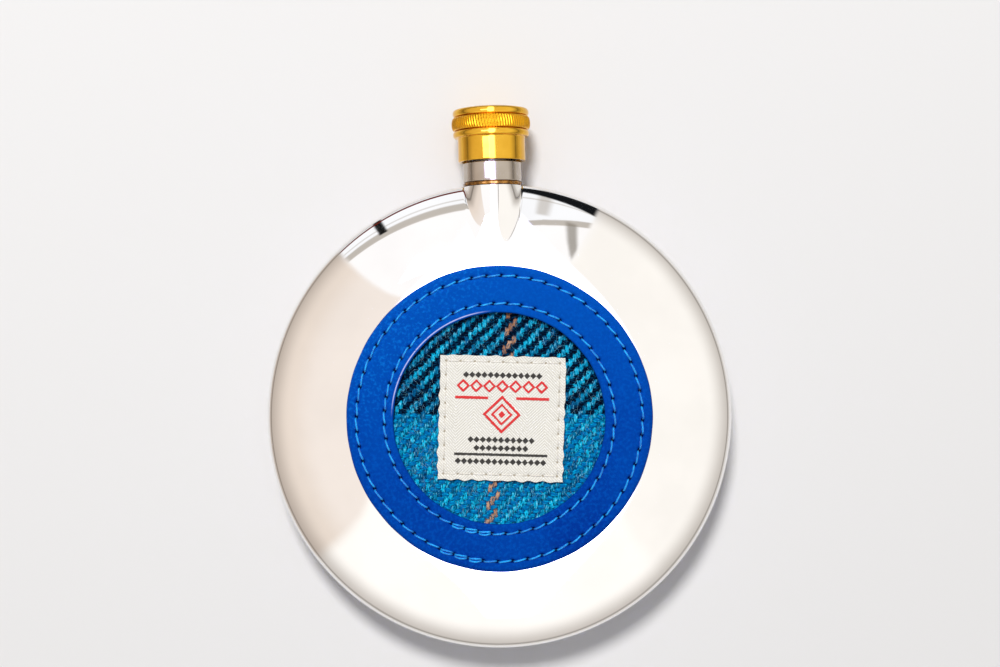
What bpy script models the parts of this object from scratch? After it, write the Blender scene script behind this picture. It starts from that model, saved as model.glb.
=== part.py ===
"""A round hip flask lying on its back, with a screw cap on a short neck and a sewn patch on its front.

The origin is the middle of the flat land on the back. +Z points out of the front face and +Y runs up
the neck. All sizes are in metres.
"""

import math

import bmesh
import bpy

# Air left between pieces that touch, slide or turn in each other.
FIT_GAP = 0.0003

# Body: two pressed steel shells that meet at a seam round the rim.
BODY_DIAMETER = 0.110
BODY_THICKNESS = 0.021
LAND_DIAMETER = 0.066
RIM_RADIUS = 0.0036
SEAM_BAND = 0.0012
SHEET_THICKNESS = 0.0007

# Gusset: the half-cones that the shells are pressed into under the neck.
GUSSET_DROP = 0.0008
NECK_SINK = 0.0006

# Neck: a threaded tube, a collar round its foot and the brazed joint under the collar.
NECK_BORE = 0.0086
NECK_WALL = 0.0008
NECK_TAIL = 0.0039
THREAD_HEIGHT = 0.0008
THREAD_PITCH = 0.002
THREAD_RUNOUT = 0.0016
THREAD_FOOT_SHARE = 0.27
THREAD_CREST_SHARE = 0.12
BRAZE_LENGTH = 0.0004
BRAZE_INSET = 0.0003
COLLAR_WALL = 0.0015
COLLAR_LENGTH = 0.0046
EDGE_BREAK = 0.0003

# Cap: a brass shell over a threaded plastic insert, with a flat seal inside.
INSERT_WALL = 0.0006
INSERT_TOP = 0.0008
INSERT_RECESS = 0.0006
SEAL_THICKNESS = 0.0012
CAP_WALL = 0.0009
CAP_TOP = 0.0014
SLEEVE_LENGTH = 0.0056
BEAD_HEIGHT = 0.00105
BEAD_WIDTH = 0.0018
KNURL_HEIGHT = 0.00135
KNURL_WIDTH = 0.0032
CROWN_RISE = 0.0006

# Patch: leather ring over a cloth disc, sewn to a backing that is stuck to the front land.
ADHESIVE_THICKNESS = 0.0005
BACKING_THICKNESS = 0.0004
BACKING_MARGIN = 0.0012
TWEED_THICKNESS = 0.0007
TWEED_INSET = 0.0008
LEATHER_THICKNESS = 0.0014
LEATHER_WIDTH = 0.0109
WINDOW_MARGIN = 0.0035
LEATHER_EDGE_BREAK = 0.0004
OUTER_SEAM_INSET = 0.0024
INNER_SEAM_INSET = 0.0021
SEAM_THREAD = 0.0005
STITCH_PITCH = 0.0033
GROOVE_DEPTH = 0.0008
BOBBIN_SHARE = 0.8

# Label: a woven square sewn to the cloth.
LABEL_WIDTH = 0.0288
LABEL_HEIGHT = 0.0286
LABEL_THICKNESS = 0.0005
LABEL_SHIFT = 0.0005
LABEL_TWIST = math.radians(-3.2)
LABEL_SEAM_INSET = 0.0013
LABEL_THREAD = 0.0004
LABEL_STITCH_PITCH = 0.0029
LABEL_BOBBIN_CORNER = 0.0015

# Facets.
BODY_SEGMENTS = 56
NECK_SEGMENTS = 32
PATCH_SEGMENTS = 56

# Heights across the body, from the back land.
MID_PLANE = BODY_THICKNESS / 2
ADHESIVE_BOTTOM = BODY_THICKNESS + FIT_GAP
BACKING_BOTTOM = ADHESIVE_BOTTOM + ADHESIVE_THICKNESS + FIT_GAP
TWEED_BOTTOM = BACKING_BOTTOM + BACKING_THICKNESS + FIT_GAP
LEATHER_BOTTOM = TWEED_BOTTOM + TWEED_THICKNESS + FIT_GAP
LEATHER_TOP = LEATHER_BOTTOM + LEATHER_THICKNESS
LABEL_BOTTOM = LEATHER_BOTTOM
LABEL_TOP = LABEL_BOTTOM + LABEL_THICKNESS

# Radii of the neck and cap, each taken from the piece inside it.
NECK_RADIUS = NECK_BORE / 2 + NECK_WALL
CREST_RADIUS = NECK_RADIUS + THREAD_HEIGHT
COLLAR_RADIUS = NECK_RADIUS + FIT_GAP + COLLAR_WALL
INSERT_BORE_RADIUS = CREST_RADIUS + FIT_GAP
INSERT_RADIUS = INSERT_BORE_RADIUS + INSERT_WALL
CAVITY_RADIUS = INSERT_RADIUS + FIT_GAP
SLEEVE_RADIUS = CAVITY_RADIUS + CAP_WALL

# Stations up the neck, from the body's centre.
GUSSET_END = BODY_DIAMETER / 2 - NECK_SINK
BRAZE_BOTTOM = GUSSET_END + FIT_GAP
COLLAR_BOTTOM = BRAZE_BOTTOM + BRAZE_LENGTH + FIT_GAP
COLLAR_TOP = COLLAR_BOTTOM + COLLAR_LENGTH
CAP_BOTTOM = COLLAR_TOP + FIT_GAP
CAP_CROWN = CAP_BOTTOM + SLEEVE_LENGTH + 2 * BEAD_WIDTH + KNURL_WIDTH
CAP_END = CAP_CROWN + CROWN_RISE
INSERT_END = CAP_END - CAP_TOP - FIT_GAP
SEAL_TOP = INSERT_END - INSERT_TOP - FIT_GAP
NECK_LIP = SEAL_TOP - SEAL_THICKNESS - FIT_GAP
NECK_THREAD_START = COLLAR_TOP + THREAD_RUNOUT
THREAD_TURNS = (NECK_LIP - THREAD_RUNOUT - NECK_THREAD_START) / THREAD_PITCH

# Leather ring and seams: the ring's window clears the label's corners.
LABEL_REACH = math.hypot(LABEL_WIDTH, LABEL_HEIGHT) / 2 + LABEL_SHIFT
LEATHER_INNER_RADIUS = LABEL_REACH + WINDOW_MARGIN
LEATHER_OUTER_RADIUS = LEATHER_INNER_RADIUS + LEATHER_WIDTH
OUTER_SEAM_RADIUS = LEATHER_OUTER_RADIUS - OUTER_SEAM_INSET
INNER_SEAM_RADIUS = LEATHER_INNER_RADIUS + INNER_SEAM_INSET
SEAM_CLEARANCE = SEAM_THREAD / 2 + FIT_GAP
LABEL_HOLE = LABEL_THREAD + 2 * FIT_GAP
LABEL_SEAM_HALF_WIDTH = LABEL_WIDTH / 2 - LABEL_SEAM_INSET
LABEL_SEAM_HALF_HEIGHT = LABEL_HEIGHT / 2 - LABEL_SEAM_INSET


def clear_scene():
    for obj in list(bpy.data.objects):
        bpy.data.objects.remove(obj, do_unlink=True)


def make_material(name, colour, metallic, roughness):
    material = bpy.data.materials.new(name)
    material.use_nodes = True
    shader = material.node_tree.nodes["Principled BSDF"]
    shader.inputs["Base Color"].default_value = (*colour, 1.0)
    shader.inputs["Metallic"].default_value = metallic
    shader.inputs["Roughness"].default_value = roughness
    material.diffuse_color = (*colour, 1.0)
    return material


def add_object(name, data, material, parent):
    """Adds a mesh or a curve to the scene, with its material and parent."""
    obj = bpy.data.objects.new(name, data)
    bpy.context.scene.collection.objects.link(obj)
    obj.parent = parent
    if material:
        data.materials.append(material)
    return obj


def add_empty(name, location, rotation, parent=None):
    empty = add_object(name, None, None, parent)
    empty.location = location
    empty.rotation_euler = rotation
    return empty


def finish_mesh(name, bm, smooth):
    """Turns a bmesh into a mesh with outward faces, smooth apart from its real corners."""
    bmesh.ops.remove_doubles(bm, verts=bm.verts, dist=1e-6)
    bmesh.ops.recalc_face_normals(bm, faces=bm.faces)
    mesh = bpy.data.meshes.new(name)
    bm.to_mesh(mesh)
    bm.free()
    if smooth:
        mesh.shade_smooth()
        mesh.set_sharp_from_angle(angle=math.radians(35))
    return mesh


def turned_mesh(name, outline, segments):
    """Turns an outline of (radius, height) points about Z. An outline that starts off the axis is closed."""
    bm = bmesh.new()
    points = [bm.verts.new((radius, 0.0, height)) for radius, height in outline]
    pairs = list(zip(points, points[1:]))
    if outline[0][0] > 0:
        pairs.append((points[-1], points[0]))
    edges = [bm.edges.new(pair) for pair in pairs]
    bmesh.ops.spin(
        bm, geom=points + edges, axis=(0, 0, 1), cent=(0, 0, 0), angle=math.tau, steps=segments
    )
    return finish_mesh(name, bm, smooth=True)


def turned(name, outline, segments, material, parent=None):
    return add_object(name, turned_mesh(name, outline, segments), material, parent)


def as_cutter(obj):
    """Marks a helper solid, which shapes other pieces and isn't one itself."""
    obj.hide_render = True
    obj.display_type = "WIRE"
    return obj


def combine(obj, other, operation):
    modifier = obj.modifiers.new(f"{operation.lower()} {other.name}", "BOOLEAN")
    modifier.object = other
    modifier.operation = operation


def arc(centre, radius, start, end, steps):
    """Points of an arc from one angle to another, both ends included."""
    turns = [start + (end - start) * i / steps for i in range(steps + 1)]
    return [(centre[0] + radius * math.cos(a), centre[1] + radius * math.sin(a)) for a in turns]


def bead(root_radius, crest_height, bottom, width, steps):
    """Outline of a half-round bead that stands crest_height out of root_radius."""
    bend = (width**2 / 4 + crest_height**2) / (2 * crest_height)
    half_angle = math.asin(min(1.0, width / 2 / bend))
    centre = (root_radius + crest_height - bend, bottom + width / 2)
    return arc(centre, bend, -half_angle, half_angle, steps)


def low_dome(radius, bottom, rise, steps):
    """Outline of a shallow dome, from its edge to the axis."""
    bend = (radius**2 + rise**2) / (2 * rise)
    sweep = math.asin(radius / bend)
    return arc((0.0, bottom + rise - bend), bend, math.pi / 2 - sweep, math.pi / 2, steps)


def ring_outline(inner, outer, bottom, top, edge_break=0.0):
    """A ring's cross-section, with both outer corners broken by edge_break."""
    if edge_break == 0.0:
        return [(inner, bottom), (outer, bottom), (outer, top), (inner, top)]
    return [
        (inner, bottom),
        (outer - edge_break, bottom),
        (outer, bottom + edge_break),
        (outer, top - edge_break),
        (outer - edge_break, top),
        (inner, top),
    ]


# ---------------------------------------------------------------- body


def face_curve():
    """Crown radius and slope of a face, which meets both the flat land and the rim bend smoothly."""
    rise = MID_PLANE - SEAM_BAND / 2 - RIM_RADIUS
    run = BODY_DIAMETER / 2 - RIM_RADIUS - LAND_DIAMETER / 2
    slope = 2 * math.atan2(rise, run)
    return RIM_RADIUS + run / math.sin(slope), slope


def half_body_outline(inset):
    """(radius, height over the mid-plane) from the middle of a face to the seam, moved in by inset."""
    crown, slope = face_curve()
    land = LAND_DIAMETER / 2
    quarter = math.pi / 2
    face = arc((land, MID_PLANE - crown), crown - inset, quarter, quarter - slope, 4)
    rim_centre = (BODY_DIAMETER / 2 - RIM_RADIUS, SEAM_BAND / 2)
    rim = arc(rim_centre, RIM_RADIUS - inset, quarter - slope, 0.0, 4)
    return [(0.0, MID_PLANE - inset)] + face + rim[1:]


def body_solid(name, inset, material=None):
    """The whole body, both halves, moved in by inset."""
    upper = half_body_outline(inset)
    outline = [(radius, MID_PLANE + height) for radius, height in upper]
    outline += [(radius, MID_PLANE - height) for radius, height in reversed(upper)]
    return turned(name, outline, BODY_SEGMENTS, material)


def gusset_solid(name, inset, tail, neck_axis):
    """The bell under the neck: from inside the body, where its side is level, to the collar's foot.

    A tail carries its end straight on, past where the collar's seat is cut.
    """
    crown, _ = face_curve()
    root_radius = MID_PLANE - GUSSET_DROP
    sunk = GUSSET_DROP / 2
    root = LAND_DIAMETER / 2 + math.sqrt(2 * crown * sunk - sunk**2)
    narrowing = root_radius - COLLAR_RADIUS
    bend = ((GUSSET_END - root) ** 2 + narrowing**2) / (2 * narrowing)
    end = GUSSET_END - inset
    sweep = math.asin((end - root) / (bend - inset))
    start = root - GUSSET_DROP
    outline = [(0.0, start), (root_radius - inset, start)]
    outline += arc((root_radius - bend, root), bend - inset, 0.0, sweep, 6)
    if tail:
        outline.append((outline[-1][0], end + tail))
    outline.append((0.0, end + tail))
    return as_cutter(turned(name, outline, NECK_SEGMENTS, None, neck_axis))


def neck_hole_cutter(neck_axis):
    """The hole that the neck passes through, and the flat seat cut round it for the collar."""
    hole = NECK_RADIUS + FIT_GAP
    seat = COLLAR_RADIUS + FIT_GAP
    start = GUSSET_END - NECK_TAIL
    outline = [(0.0, start), (hole, start), (hole, GUSSET_END), (seat, GUSSET_END)]
    outline += [(seat, COLLAR_TOP), (0.0, COLLAR_TOP)]
    return as_cutter(turned("neck_hole", outline, NECK_SEGMENTS, None, neck_axis))


def half_space(name, side):
    """A block over everything on one side of the mid-plane, and half the seam's gap past it."""
    span = BODY_DIAMETER * 1.5
    bm = bmesh.new()
    bmesh.ops.create_cube(bm, size=span)
    block = as_cutter(add_object(name, finish_mesh(name, bm, smooth=False), None, None))
    block.location = (0.0, 0.0, MID_PLANE + side * (span - FIT_GAP) / 2)
    return block


def build_shells(neck_axis):
    steel = make_material("polished steel", (0.80, 0.78, 0.75), 1.0, 0.08)
    gusset = gusset_solid("gusset_outside", 0.0, SHEET_THICKNESS, neck_axis)
    gusset_inside = gusset_solid("gusset_inside", SHEET_THICKNESS, 0.0, neck_axis)
    body_inside = as_cutter(body_solid("body_inside", SHEET_THICKNESS))
    neck_hole = neck_hole_cutter(neck_axis)
    for name, removed_side in (("front_shell", -1), ("back_shell", 1)):
        shell = body_solid(name, 0.0, steel)
        combine(shell, gusset, "UNION")
        for cutter in (body_inside, gusset_inside, neck_hole):
            combine(shell, cutter, "DIFFERENCE")
        combine(shell, half_space(f"{name}_other_side", removed_side), "DIFFERENCE")


# ---------------------------------------------------------------- neck and cap


def thread_ridge(name, wall, height, start, turns, parent):
    """A right-hand helical ridge on a wall. A negative height makes it stand inwards from a bore.

    Its foot is sunk in the wall, and its crest sinks into the wall over the first and last half turn.
    """
    sunk = math.copysign(NECK_WALL / 4, height)
    foot_half = THREAD_PITCH * THREAD_FOOT_SHARE
    crest_half = THREAD_PITCH * THREAD_CREST_SHARE
    steps = round(turns * NECK_SEGMENTS)
    bm = bmesh.new()
    rings = []
    for i in range(steps + 1):
        turn = i / NECK_SEGMENTS
        angle = math.tau * turn
        rise = min(1.0, 2 * turn, 2 * (turns - turn))
        crest = wall - sunk / 2 + (height + sunk / 2) * rise
        level = start + THREAD_PITCH * turn
        section = (
            (wall - sunk, level - foot_half),
            (crest, level - crest_half),
            (crest, level + crest_half),
            (wall - sunk, level + foot_half),
        )
        rings.append([bm.verts.new((r * math.cos(angle), r * math.sin(angle), z)) for r, z in section])
    for near, far in zip(rings, rings[1:]):
        for a, b in ((0, 1), (1, 2), (2, 3), (3, 0)):
            bm.faces.new((near[a], near[b], far[b], far[a]))
    bm.faces.new(rings[0])
    bm.faces.new(reversed(rings[-1]))
    return as_cutter(add_object(name, finish_mesh(name, bm, smooth=False), None, parent))


def build_neck(neck_axis):
    steel = make_material("brushed steel", (0.62, 0.59, 0.55), 1.0, 0.32)
    brass = make_material("brazing brass", (0.72, 0.50, 0.22), 1.0, 0.30)
    bottom = GUSSET_END - NECK_TAIL
    tube_outline = ring_outline(NECK_BORE / 2, NECK_RADIUS, bottom, NECK_LIP, EDGE_BREAK)
    tube = turned("neck_tube", tube_outline, NECK_SEGMENTS, steel, neck_axis)
    ridge = thread_ridge(
        "neck_thread", NECK_RADIUS, THREAD_HEIGHT, NECK_THREAD_START, THREAD_TURNS, neck_axis
    )
    combine(tube, ridge, "UNION")
    inner = NECK_RADIUS + FIT_GAP
    braze = ring_outline(inner, COLLAR_RADIUS - BRAZE_INSET, BRAZE_BOTTOM, BRAZE_BOTTOM + BRAZE_LENGTH)
    turned("braze_ring", braze, NECK_SEGMENTS, brass, neck_axis)
    collar = ring_outline(inner, COLLAR_RADIUS, COLLAR_BOTTOM, COLLAR_TOP, EDGE_BREAK)
    turned("neck_collar", collar, NECK_SEGMENTS, steel, neck_axis)


def cap_outline():
    """Cap cross-section: up the cavity, round the foot, then up the sleeve and the three beads."""
    ceiling = CAP_END - CAP_TOP
    sleeve_top = CAP_BOTTOM + SLEEVE_LENGTH
    knurl_bottom = sleeve_top + BEAD_WIDTH
    upper_bottom = knurl_bottom + KNURL_WIDTH
    inside = [(0.0, ceiling), (CAVITY_RADIUS, ceiling), (CAVITY_RADIUS, CAP_BOTTOM)]
    foot = [(SLEEVE_RADIUS - EDGE_BREAK, CAP_BOTTOM), (SLEEVE_RADIUS, CAP_BOTTOM + EDGE_BREAK)]
    lower = bead(SLEEVE_RADIUS, BEAD_HEIGHT, sleeve_top, BEAD_WIDTH, 4)
    shoulder = SLEEVE_RADIUS + BEAD_HEIGHT / 2
    knurl = bead(shoulder, KNURL_HEIGHT - BEAD_HEIGHT / 2, knurl_bottom, KNURL_WIDTH, 4)
    upper = bead(shoulder, BEAD_HEIGHT / 2, upper_bottom, BEAD_WIDTH, 4)
    return inside + foot + lower + knurl + upper[1:] + low_dome(shoulder, CAP_CROWN, CROWN_RISE, 3)[1:]


def build_cap(cap_axis, travel_axis):
    gold = make_material("polished brass", (0.86, 0.58, 0.16), 1.0, 0.18)
    plastic = make_material("insert plastic", (0.85, 0.85, 0.83), 0.0, 0.45)
    rubber = make_material("seal rubber", (0.75, 0.74, 0.70), 0.0, 0.6)
    turned("cap_shell", cap_outline(), NECK_SEGMENTS, gold, cap_axis)
    bottom = CAP_BOTTOM + INSERT_RECESS
    ceiling = INSERT_END - INSERT_TOP
    outline = [(0.0, ceiling), (INSERT_BORE_RADIUS, ceiling), (INSERT_BORE_RADIUS, bottom)]
    outline += [(INSERT_RADIUS, bottom), (INSERT_RADIUS, INSERT_END), (0.0, INSERT_END)]
    insert = turned("cap_insert", outline, NECK_SEGMENTS, plastic, cap_axis)
    ridge = thread_ridge(
        "insert_thread",
        INSERT_BORE_RADIUS,
        -THREAD_HEIGHT,
        NECK_THREAD_START + THREAD_PITCH / 2,
        THREAD_TURNS - 0.5,
        cap_axis,
    )
    combine(insert, ridge, "UNION")
    seal_radius = INSERT_BORE_RADIUS - FIT_GAP
    seal = [(0.0, SEAL_TOP - SEAL_THICKNESS), (seal_radius, SEAL_TOP - SEAL_THICKNESS)]
    seal += [(seal_radius, SEAL_TOP), (0.0, SEAL_TOP)]
    turned("cap_seal", seal, NECK_SEGMENTS, rubber, travel_axis)


# ---------------------------------------------------------------- patch


def add_thread(name, points, diameter, material, parent=None):
    """A closed loop of round thread through the points."""
    curve = bpy.data.curves.new(name, "CURVE")
    curve.dimensions = "3D"
    curve.bevel_depth = diameter / 2
    curve.bevel_resolution = 0
    spline = curve.splines.new("POLY")
    spline.points.add(len(points) - 1)
    for spot, point in zip(spline.points, points):
        spot.co = (*point, 1.0)
    spline.use_cyclic_u = True
    return add_object(name, curve, material, parent)


def ring_seam(radius, low, high, pitch):
    """Stitches round a circle: down at each needle hole and up between two holes."""
    count = round(math.tau * radius / pitch)
    points = []
    for i in range(2 * count):
        angle = math.pi * (i + 0.5) / count
        level = high if i % 2 else low
        points.append((radius * math.cos(angle), radius * math.sin(angle), level))
    return points


def label_holes():
    """Needle holes round the label, evenly spaced along each side, corners included."""
    corners = [(-1, -1), (1, -1), (1, 1), (-1, 1)]
    half = (LABEL_SEAM_HALF_WIDTH, LABEL_SEAM_HALF_HEIGHT)
    holes = []
    for near, far in zip(corners, corners[1:] + corners[:1]):
        start = (near[0] * half[0], near[1] * half[1])
        end = (far[0] * half[0], far[1] * half[1])
        count = round(math.dist(start, end) / LABEL_STITCH_PITCH)
        steps = [i / count for i in range(count)]
        holes += [(start[0] + (end[0] - start[0]) * t, start[1] + (end[1] - start[1]) * t) for t in steps]
    return holes


def label_seam(low, high):
    """Stitches round the label: down in each hole, up again once past the hole's edge."""
    holes = label_holes()
    points = []
    for hole, following in zip(holes, holes[1:] + holes[:1]):
        step = (following[0] - hole[0], following[1] - hole[1])
        points.append((*hole, low))
        past = 0.6 * LABEL_HOLE / math.hypot(*step)
        points += [(hole[0] + step[0] * t, hole[1] + step[1] * t, high) for t in (past, 1 - past)]
    return points


def label_bobbin_path(level):
    """The seam's rounded square, seen from behind."""
    across = LABEL_SEAM_HALF_WIDTH - LABEL_BOBBIN_CORNER
    up = LABEL_SEAM_HALF_HEIGHT - LABEL_BOBBIN_CORNER
    points = []
    for i, (x, y) in enumerate(((1, 1), (-1, 1), (-1, -1), (1, -1))):
        start = i * math.pi / 2
        points += arc((x * across, y * up), LABEL_BOBBIN_CORNER, start, start + math.pi / 2, 3)
    return [(x, y, level) for x, y in points]


def grooved_ring_outline():
    """Leather ring's cross-section, with a groove under each stitch row."""
    soft = LEATHER_EDGE_BREAK
    floor = LEATHER_TOP - GROOVE_DEPTH
    outline = [(LEATHER_INNER_RADIUS, LEATHER_BOTTOM), (LEATHER_OUTER_RADIUS, LEATHER_BOTTOM)]
    outline += [(LEATHER_OUTER_RADIUS, LEATHER_TOP - soft), (LEATHER_OUTER_RADIUS - soft, LEATHER_TOP)]
    for seam in (OUTER_SEAM_RADIUS, INNER_SEAM_RADIUS):
        outline += [(seam + SEAM_CLEARANCE, LEATHER_TOP), (seam + SEAM_CLEARANCE, floor)]
        outline += [(seam - SEAM_CLEARANCE, floor), (seam - SEAM_CLEARANCE, LEATHER_TOP)]
    return outline + [(LEATHER_INNER_RADIUS + soft, LEATHER_TOP), (LEATHER_INNER_RADIUS, LEATHER_TOP - soft)]


def build_patch_layers():
    foam = make_material("adhesive foam", (0.86, 0.85, 0.82), 0.0, 0.8)
    lining = make_material("backing board", (0.10, 0.10, 0.12), 0.0, 0.8)
    tweed = make_material("blue tweed", (0.03, 0.30, 0.42), 0.0, 0.95)
    leather = make_material("blue leather", (0.005, 0.08, 0.46), 0.0, 0.45)
    adhesive = ring_outline(
        INNER_SEAM_RADIUS + SEAM_CLEARANCE,
        OUTER_SEAM_RADIUS - SEAM_CLEARANCE,
        ADHESIVE_BOTTOM,
        ADHESIVE_BOTTOM + ADHESIVE_THICKNESS,
    )
    turned("patch_adhesive", adhesive, PATCH_SEGMENTS, foam)
    disc_radius = LEATHER_OUTER_RADIUS - TWEED_INSET
    backing = ring_outline(
        LABEL_REACH + BACKING_MARGIN, disc_radius, BACKING_BOTTOM, BACKING_BOTTOM + BACKING_THICKNESS
    )
    turned("patch_backing", backing, PATCH_SEGMENTS, lining)
    tweed_top = TWEED_BOTTOM + TWEED_THICKNESS
    disc = [(0.0, TWEED_BOTTOM), (disc_radius, TWEED_BOTTOM), (disc_radius, tweed_top), (0.0, tweed_top)]
    turned("tweed_disc", disc, PATCH_SEGMENTS, tweed)
    turned("leather_ring", grooved_ring_outline(), PATCH_SEGMENTS, leather)


def build_ring_threads():
    thread = make_material("blue thread", (0.0, 0.35, 0.85), 0.0, 0.5)
    bobbin = make_material("bobbin thread", (0.02, 0.12, 0.45), 0.0, 0.6)
    low = LEATHER_TOP - GROOVE_DEPTH + SEAM_CLEARANCE
    high = LEATHER_TOP
    behind = ADHESIVE_BOTTOM + ADHESIVE_THICKNESS / 2
    for row, radius in (("outer", OUTER_SEAM_RADIUS), ("inner", INNER_SEAM_RADIUS)):
        add_thread(f"{row}_seam_thread", ring_seam(radius, low, high, STITCH_PITCH), SEAM_THREAD, thread)
        back = ring_seam(radius, behind, behind, 2 * STITCH_PITCH)
        add_thread(f"{row}_bobbin_thread", back, BOBBIN_SHARE * ADHESIVE_THICKNESS, bobbin)


def hole_cutter(parent):
    """One square prism for each of the label's needle holes."""
    bm = bmesh.new()
    for x, y in label_holes():
        made = bmesh.ops.create_cube(bm, size=1.0)["verts"]
        bmesh.ops.scale(bm, vec=(LABEL_HOLE, LABEL_HOLE, 3 * LABEL_THICKNESS), verts=made)
        bmesh.ops.translate(bm, vec=(x, y, LABEL_BOTTOM + LABEL_THICKNESS / 2), verts=made)
    return as_cutter(add_object("label_needle_holes", finish_mesh("holes", bm, smooth=False), None, parent))


def build_label():
    cloth = make_material("label cloth", (0.82, 0.80, 0.75), 0.0, 0.9)
    thread = make_material("label thread", (0.80, 0.78, 0.72), 0.0, 0.7)
    place = add_empty("label_place", (LABEL_SHIFT, 0.0, 0.0), (0.0, 0.0, LABEL_TWIST))
    bm = bmesh.new()
    bmesh.ops.create_cube(bm, size=1.0)
    bmesh.ops.scale(bm, vec=(LABEL_WIDTH, LABEL_HEIGHT, LABEL_THICKNESS), verts=bm.verts)
    bmesh.ops.translate(bm, vec=(0.0, 0.0, LABEL_BOTTOM + LABEL_THICKNESS / 2), verts=bm.verts)
    label = add_object("woven_label", finish_mesh("woven_label", bm, smooth=False), cloth, place)
    combine(label, hole_cutter(place), "DIFFERENCE")
    low = LABEL_BOTTOM + (LABEL_THICKNESS + LABEL_THREAD) / 2
    high = LABEL_TOP + FIT_GAP + LABEL_THREAD / 2
    add_thread("label_seam_thread", label_seam(low, high), LABEL_THREAD, thread, place)
    behind = TWEED_BOTTOM - FIT_GAP - LABEL_THREAD / 2
    add_thread("label_bobbin_thread", label_bobbin_path(behind), LABEL_THREAD, thread, place)


def build_flask():
    clear_scene()
    # Local Z of these three runs up the neck. The cap's two carry what moves.
    up_the_neck = (-math.pi / 2, 0.0, 0.0)
    neck_axis = add_empty("neck_axis", (0.0, 0.0, MID_PLANE), up_the_neck)
    travel_axis = add_empty("cap_travel_axis", (0.0, 0.0, MID_PLANE), up_the_neck)
    cap_axis = add_empty("cap_turn_axis", (0.0, 0.0, 0.0), (0.0, 0.0, 0.0), travel_axis)
    build_shells(neck_axis)
    build_neck(neck_axis)
    build_cap(cap_axis, travel_axis)
    build_patch_layers()
    build_ring_threads()
    build_label()


build_flask()
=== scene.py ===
import math
import random

import bmesh
import bpy
import numpy as np
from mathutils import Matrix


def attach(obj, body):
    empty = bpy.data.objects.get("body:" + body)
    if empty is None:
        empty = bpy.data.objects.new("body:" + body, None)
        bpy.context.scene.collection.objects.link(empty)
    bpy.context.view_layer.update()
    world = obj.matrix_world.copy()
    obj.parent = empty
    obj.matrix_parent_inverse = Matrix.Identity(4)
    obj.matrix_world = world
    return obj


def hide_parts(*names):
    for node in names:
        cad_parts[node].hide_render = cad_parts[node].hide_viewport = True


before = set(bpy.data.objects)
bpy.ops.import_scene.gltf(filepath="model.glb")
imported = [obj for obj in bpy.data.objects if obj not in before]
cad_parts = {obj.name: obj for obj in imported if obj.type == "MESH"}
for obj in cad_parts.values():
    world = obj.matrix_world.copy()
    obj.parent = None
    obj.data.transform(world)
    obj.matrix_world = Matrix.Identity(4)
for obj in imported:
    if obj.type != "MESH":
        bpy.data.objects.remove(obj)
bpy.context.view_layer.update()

# ------------------------------------------------------------------ camera
# The flask lies on its back and is seen from straight above, with the neck pointing up the picture.
# The lens is short enough for the tall cap and the body to be seen in perspective.
MID_PLANE = 0.0105
CAMERA_RISE = 0.400

camera_data = bpy.data.cameras.new("camera")
camera_data.lens = 60.6
camera_data.sensor_width = 36.0
camera_data.clip_start = 0.01
camera_data.clip_end = 20.0
camera = bpy.data.objects.new("camera", camera_data)
camera.location = (0.0007, 0.0195, MID_PLANE + CAMERA_RISE)
camera.rotation_euler = (0.0, 0.0, math.radians(-1.7))
bpy.context.scene.collection.objects.link(camera)
bpy.context.scene.camera = camera

# ------------------------------------------------------------------ table and studio
# The table is a plain pale board. Round it hangs a square tent of thin cloth, lit from outside: cream
# at the left, nearly white elsewhere, open at the neck's side, where a window and a dark room show.
TABLE_SIZE = 3.0
TABLE_COLOUR = (0.80, 0.79, 0.79)
PAPER_COLOUR = (0.90, 0.90, 0.90)
LEFT_CLOTH = (1.02, 0.93, 0.865)
LEFT_CLOTH_LOW = (0.93, 0.82, 0.73)
RIGHT_CLOTH = (1.12, 1.09, 1.045)
NEAR_CLOTH = (1.20, 1.17, 1.13)
WINDOW_CLOTH = (1.15, 1.14, 1.15)
ROOF_LIGHT = (4.5, 4.7, 8.5)
FILL_LIGHT = (0.38, 0.38, 0.38)
CLOTH_SHADE = (0.30, 0.25, 0.21)
HEM_GAP = (0.08, 0.065, 0.05)
WINDOW_FRAME = (0.52, 0.47, 0.41)
LOW_PANES = (1.10, 1.12, 1.16)
WINDOW_POST = (0.30, 0.27, 0.23)
DARK_STAND = (0.01, 0.01, 0.01)
DARK_ROOM = (0.008, 0.009, 0.011)
RED_ROOM = (0.16, 0.02, 0.012)
FAR_FLOOR = (0.62, 0.60, 0.58)


def nothing_selected():
    """Everything is left alone by the next operator, the CAD nodes among it."""
    if bpy.context.mode != "OBJECT":
        bpy.ops.object.mode_set(mode="OBJECT")
    bpy.ops.object.select_all(action="DESELECT")


def named(name):
    """Gives the object that an operator has just added its name, and its mesh as well."""
    obj = bpy.context.object
    obj.name = name
    obj.data.name = name
    return obj


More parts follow.
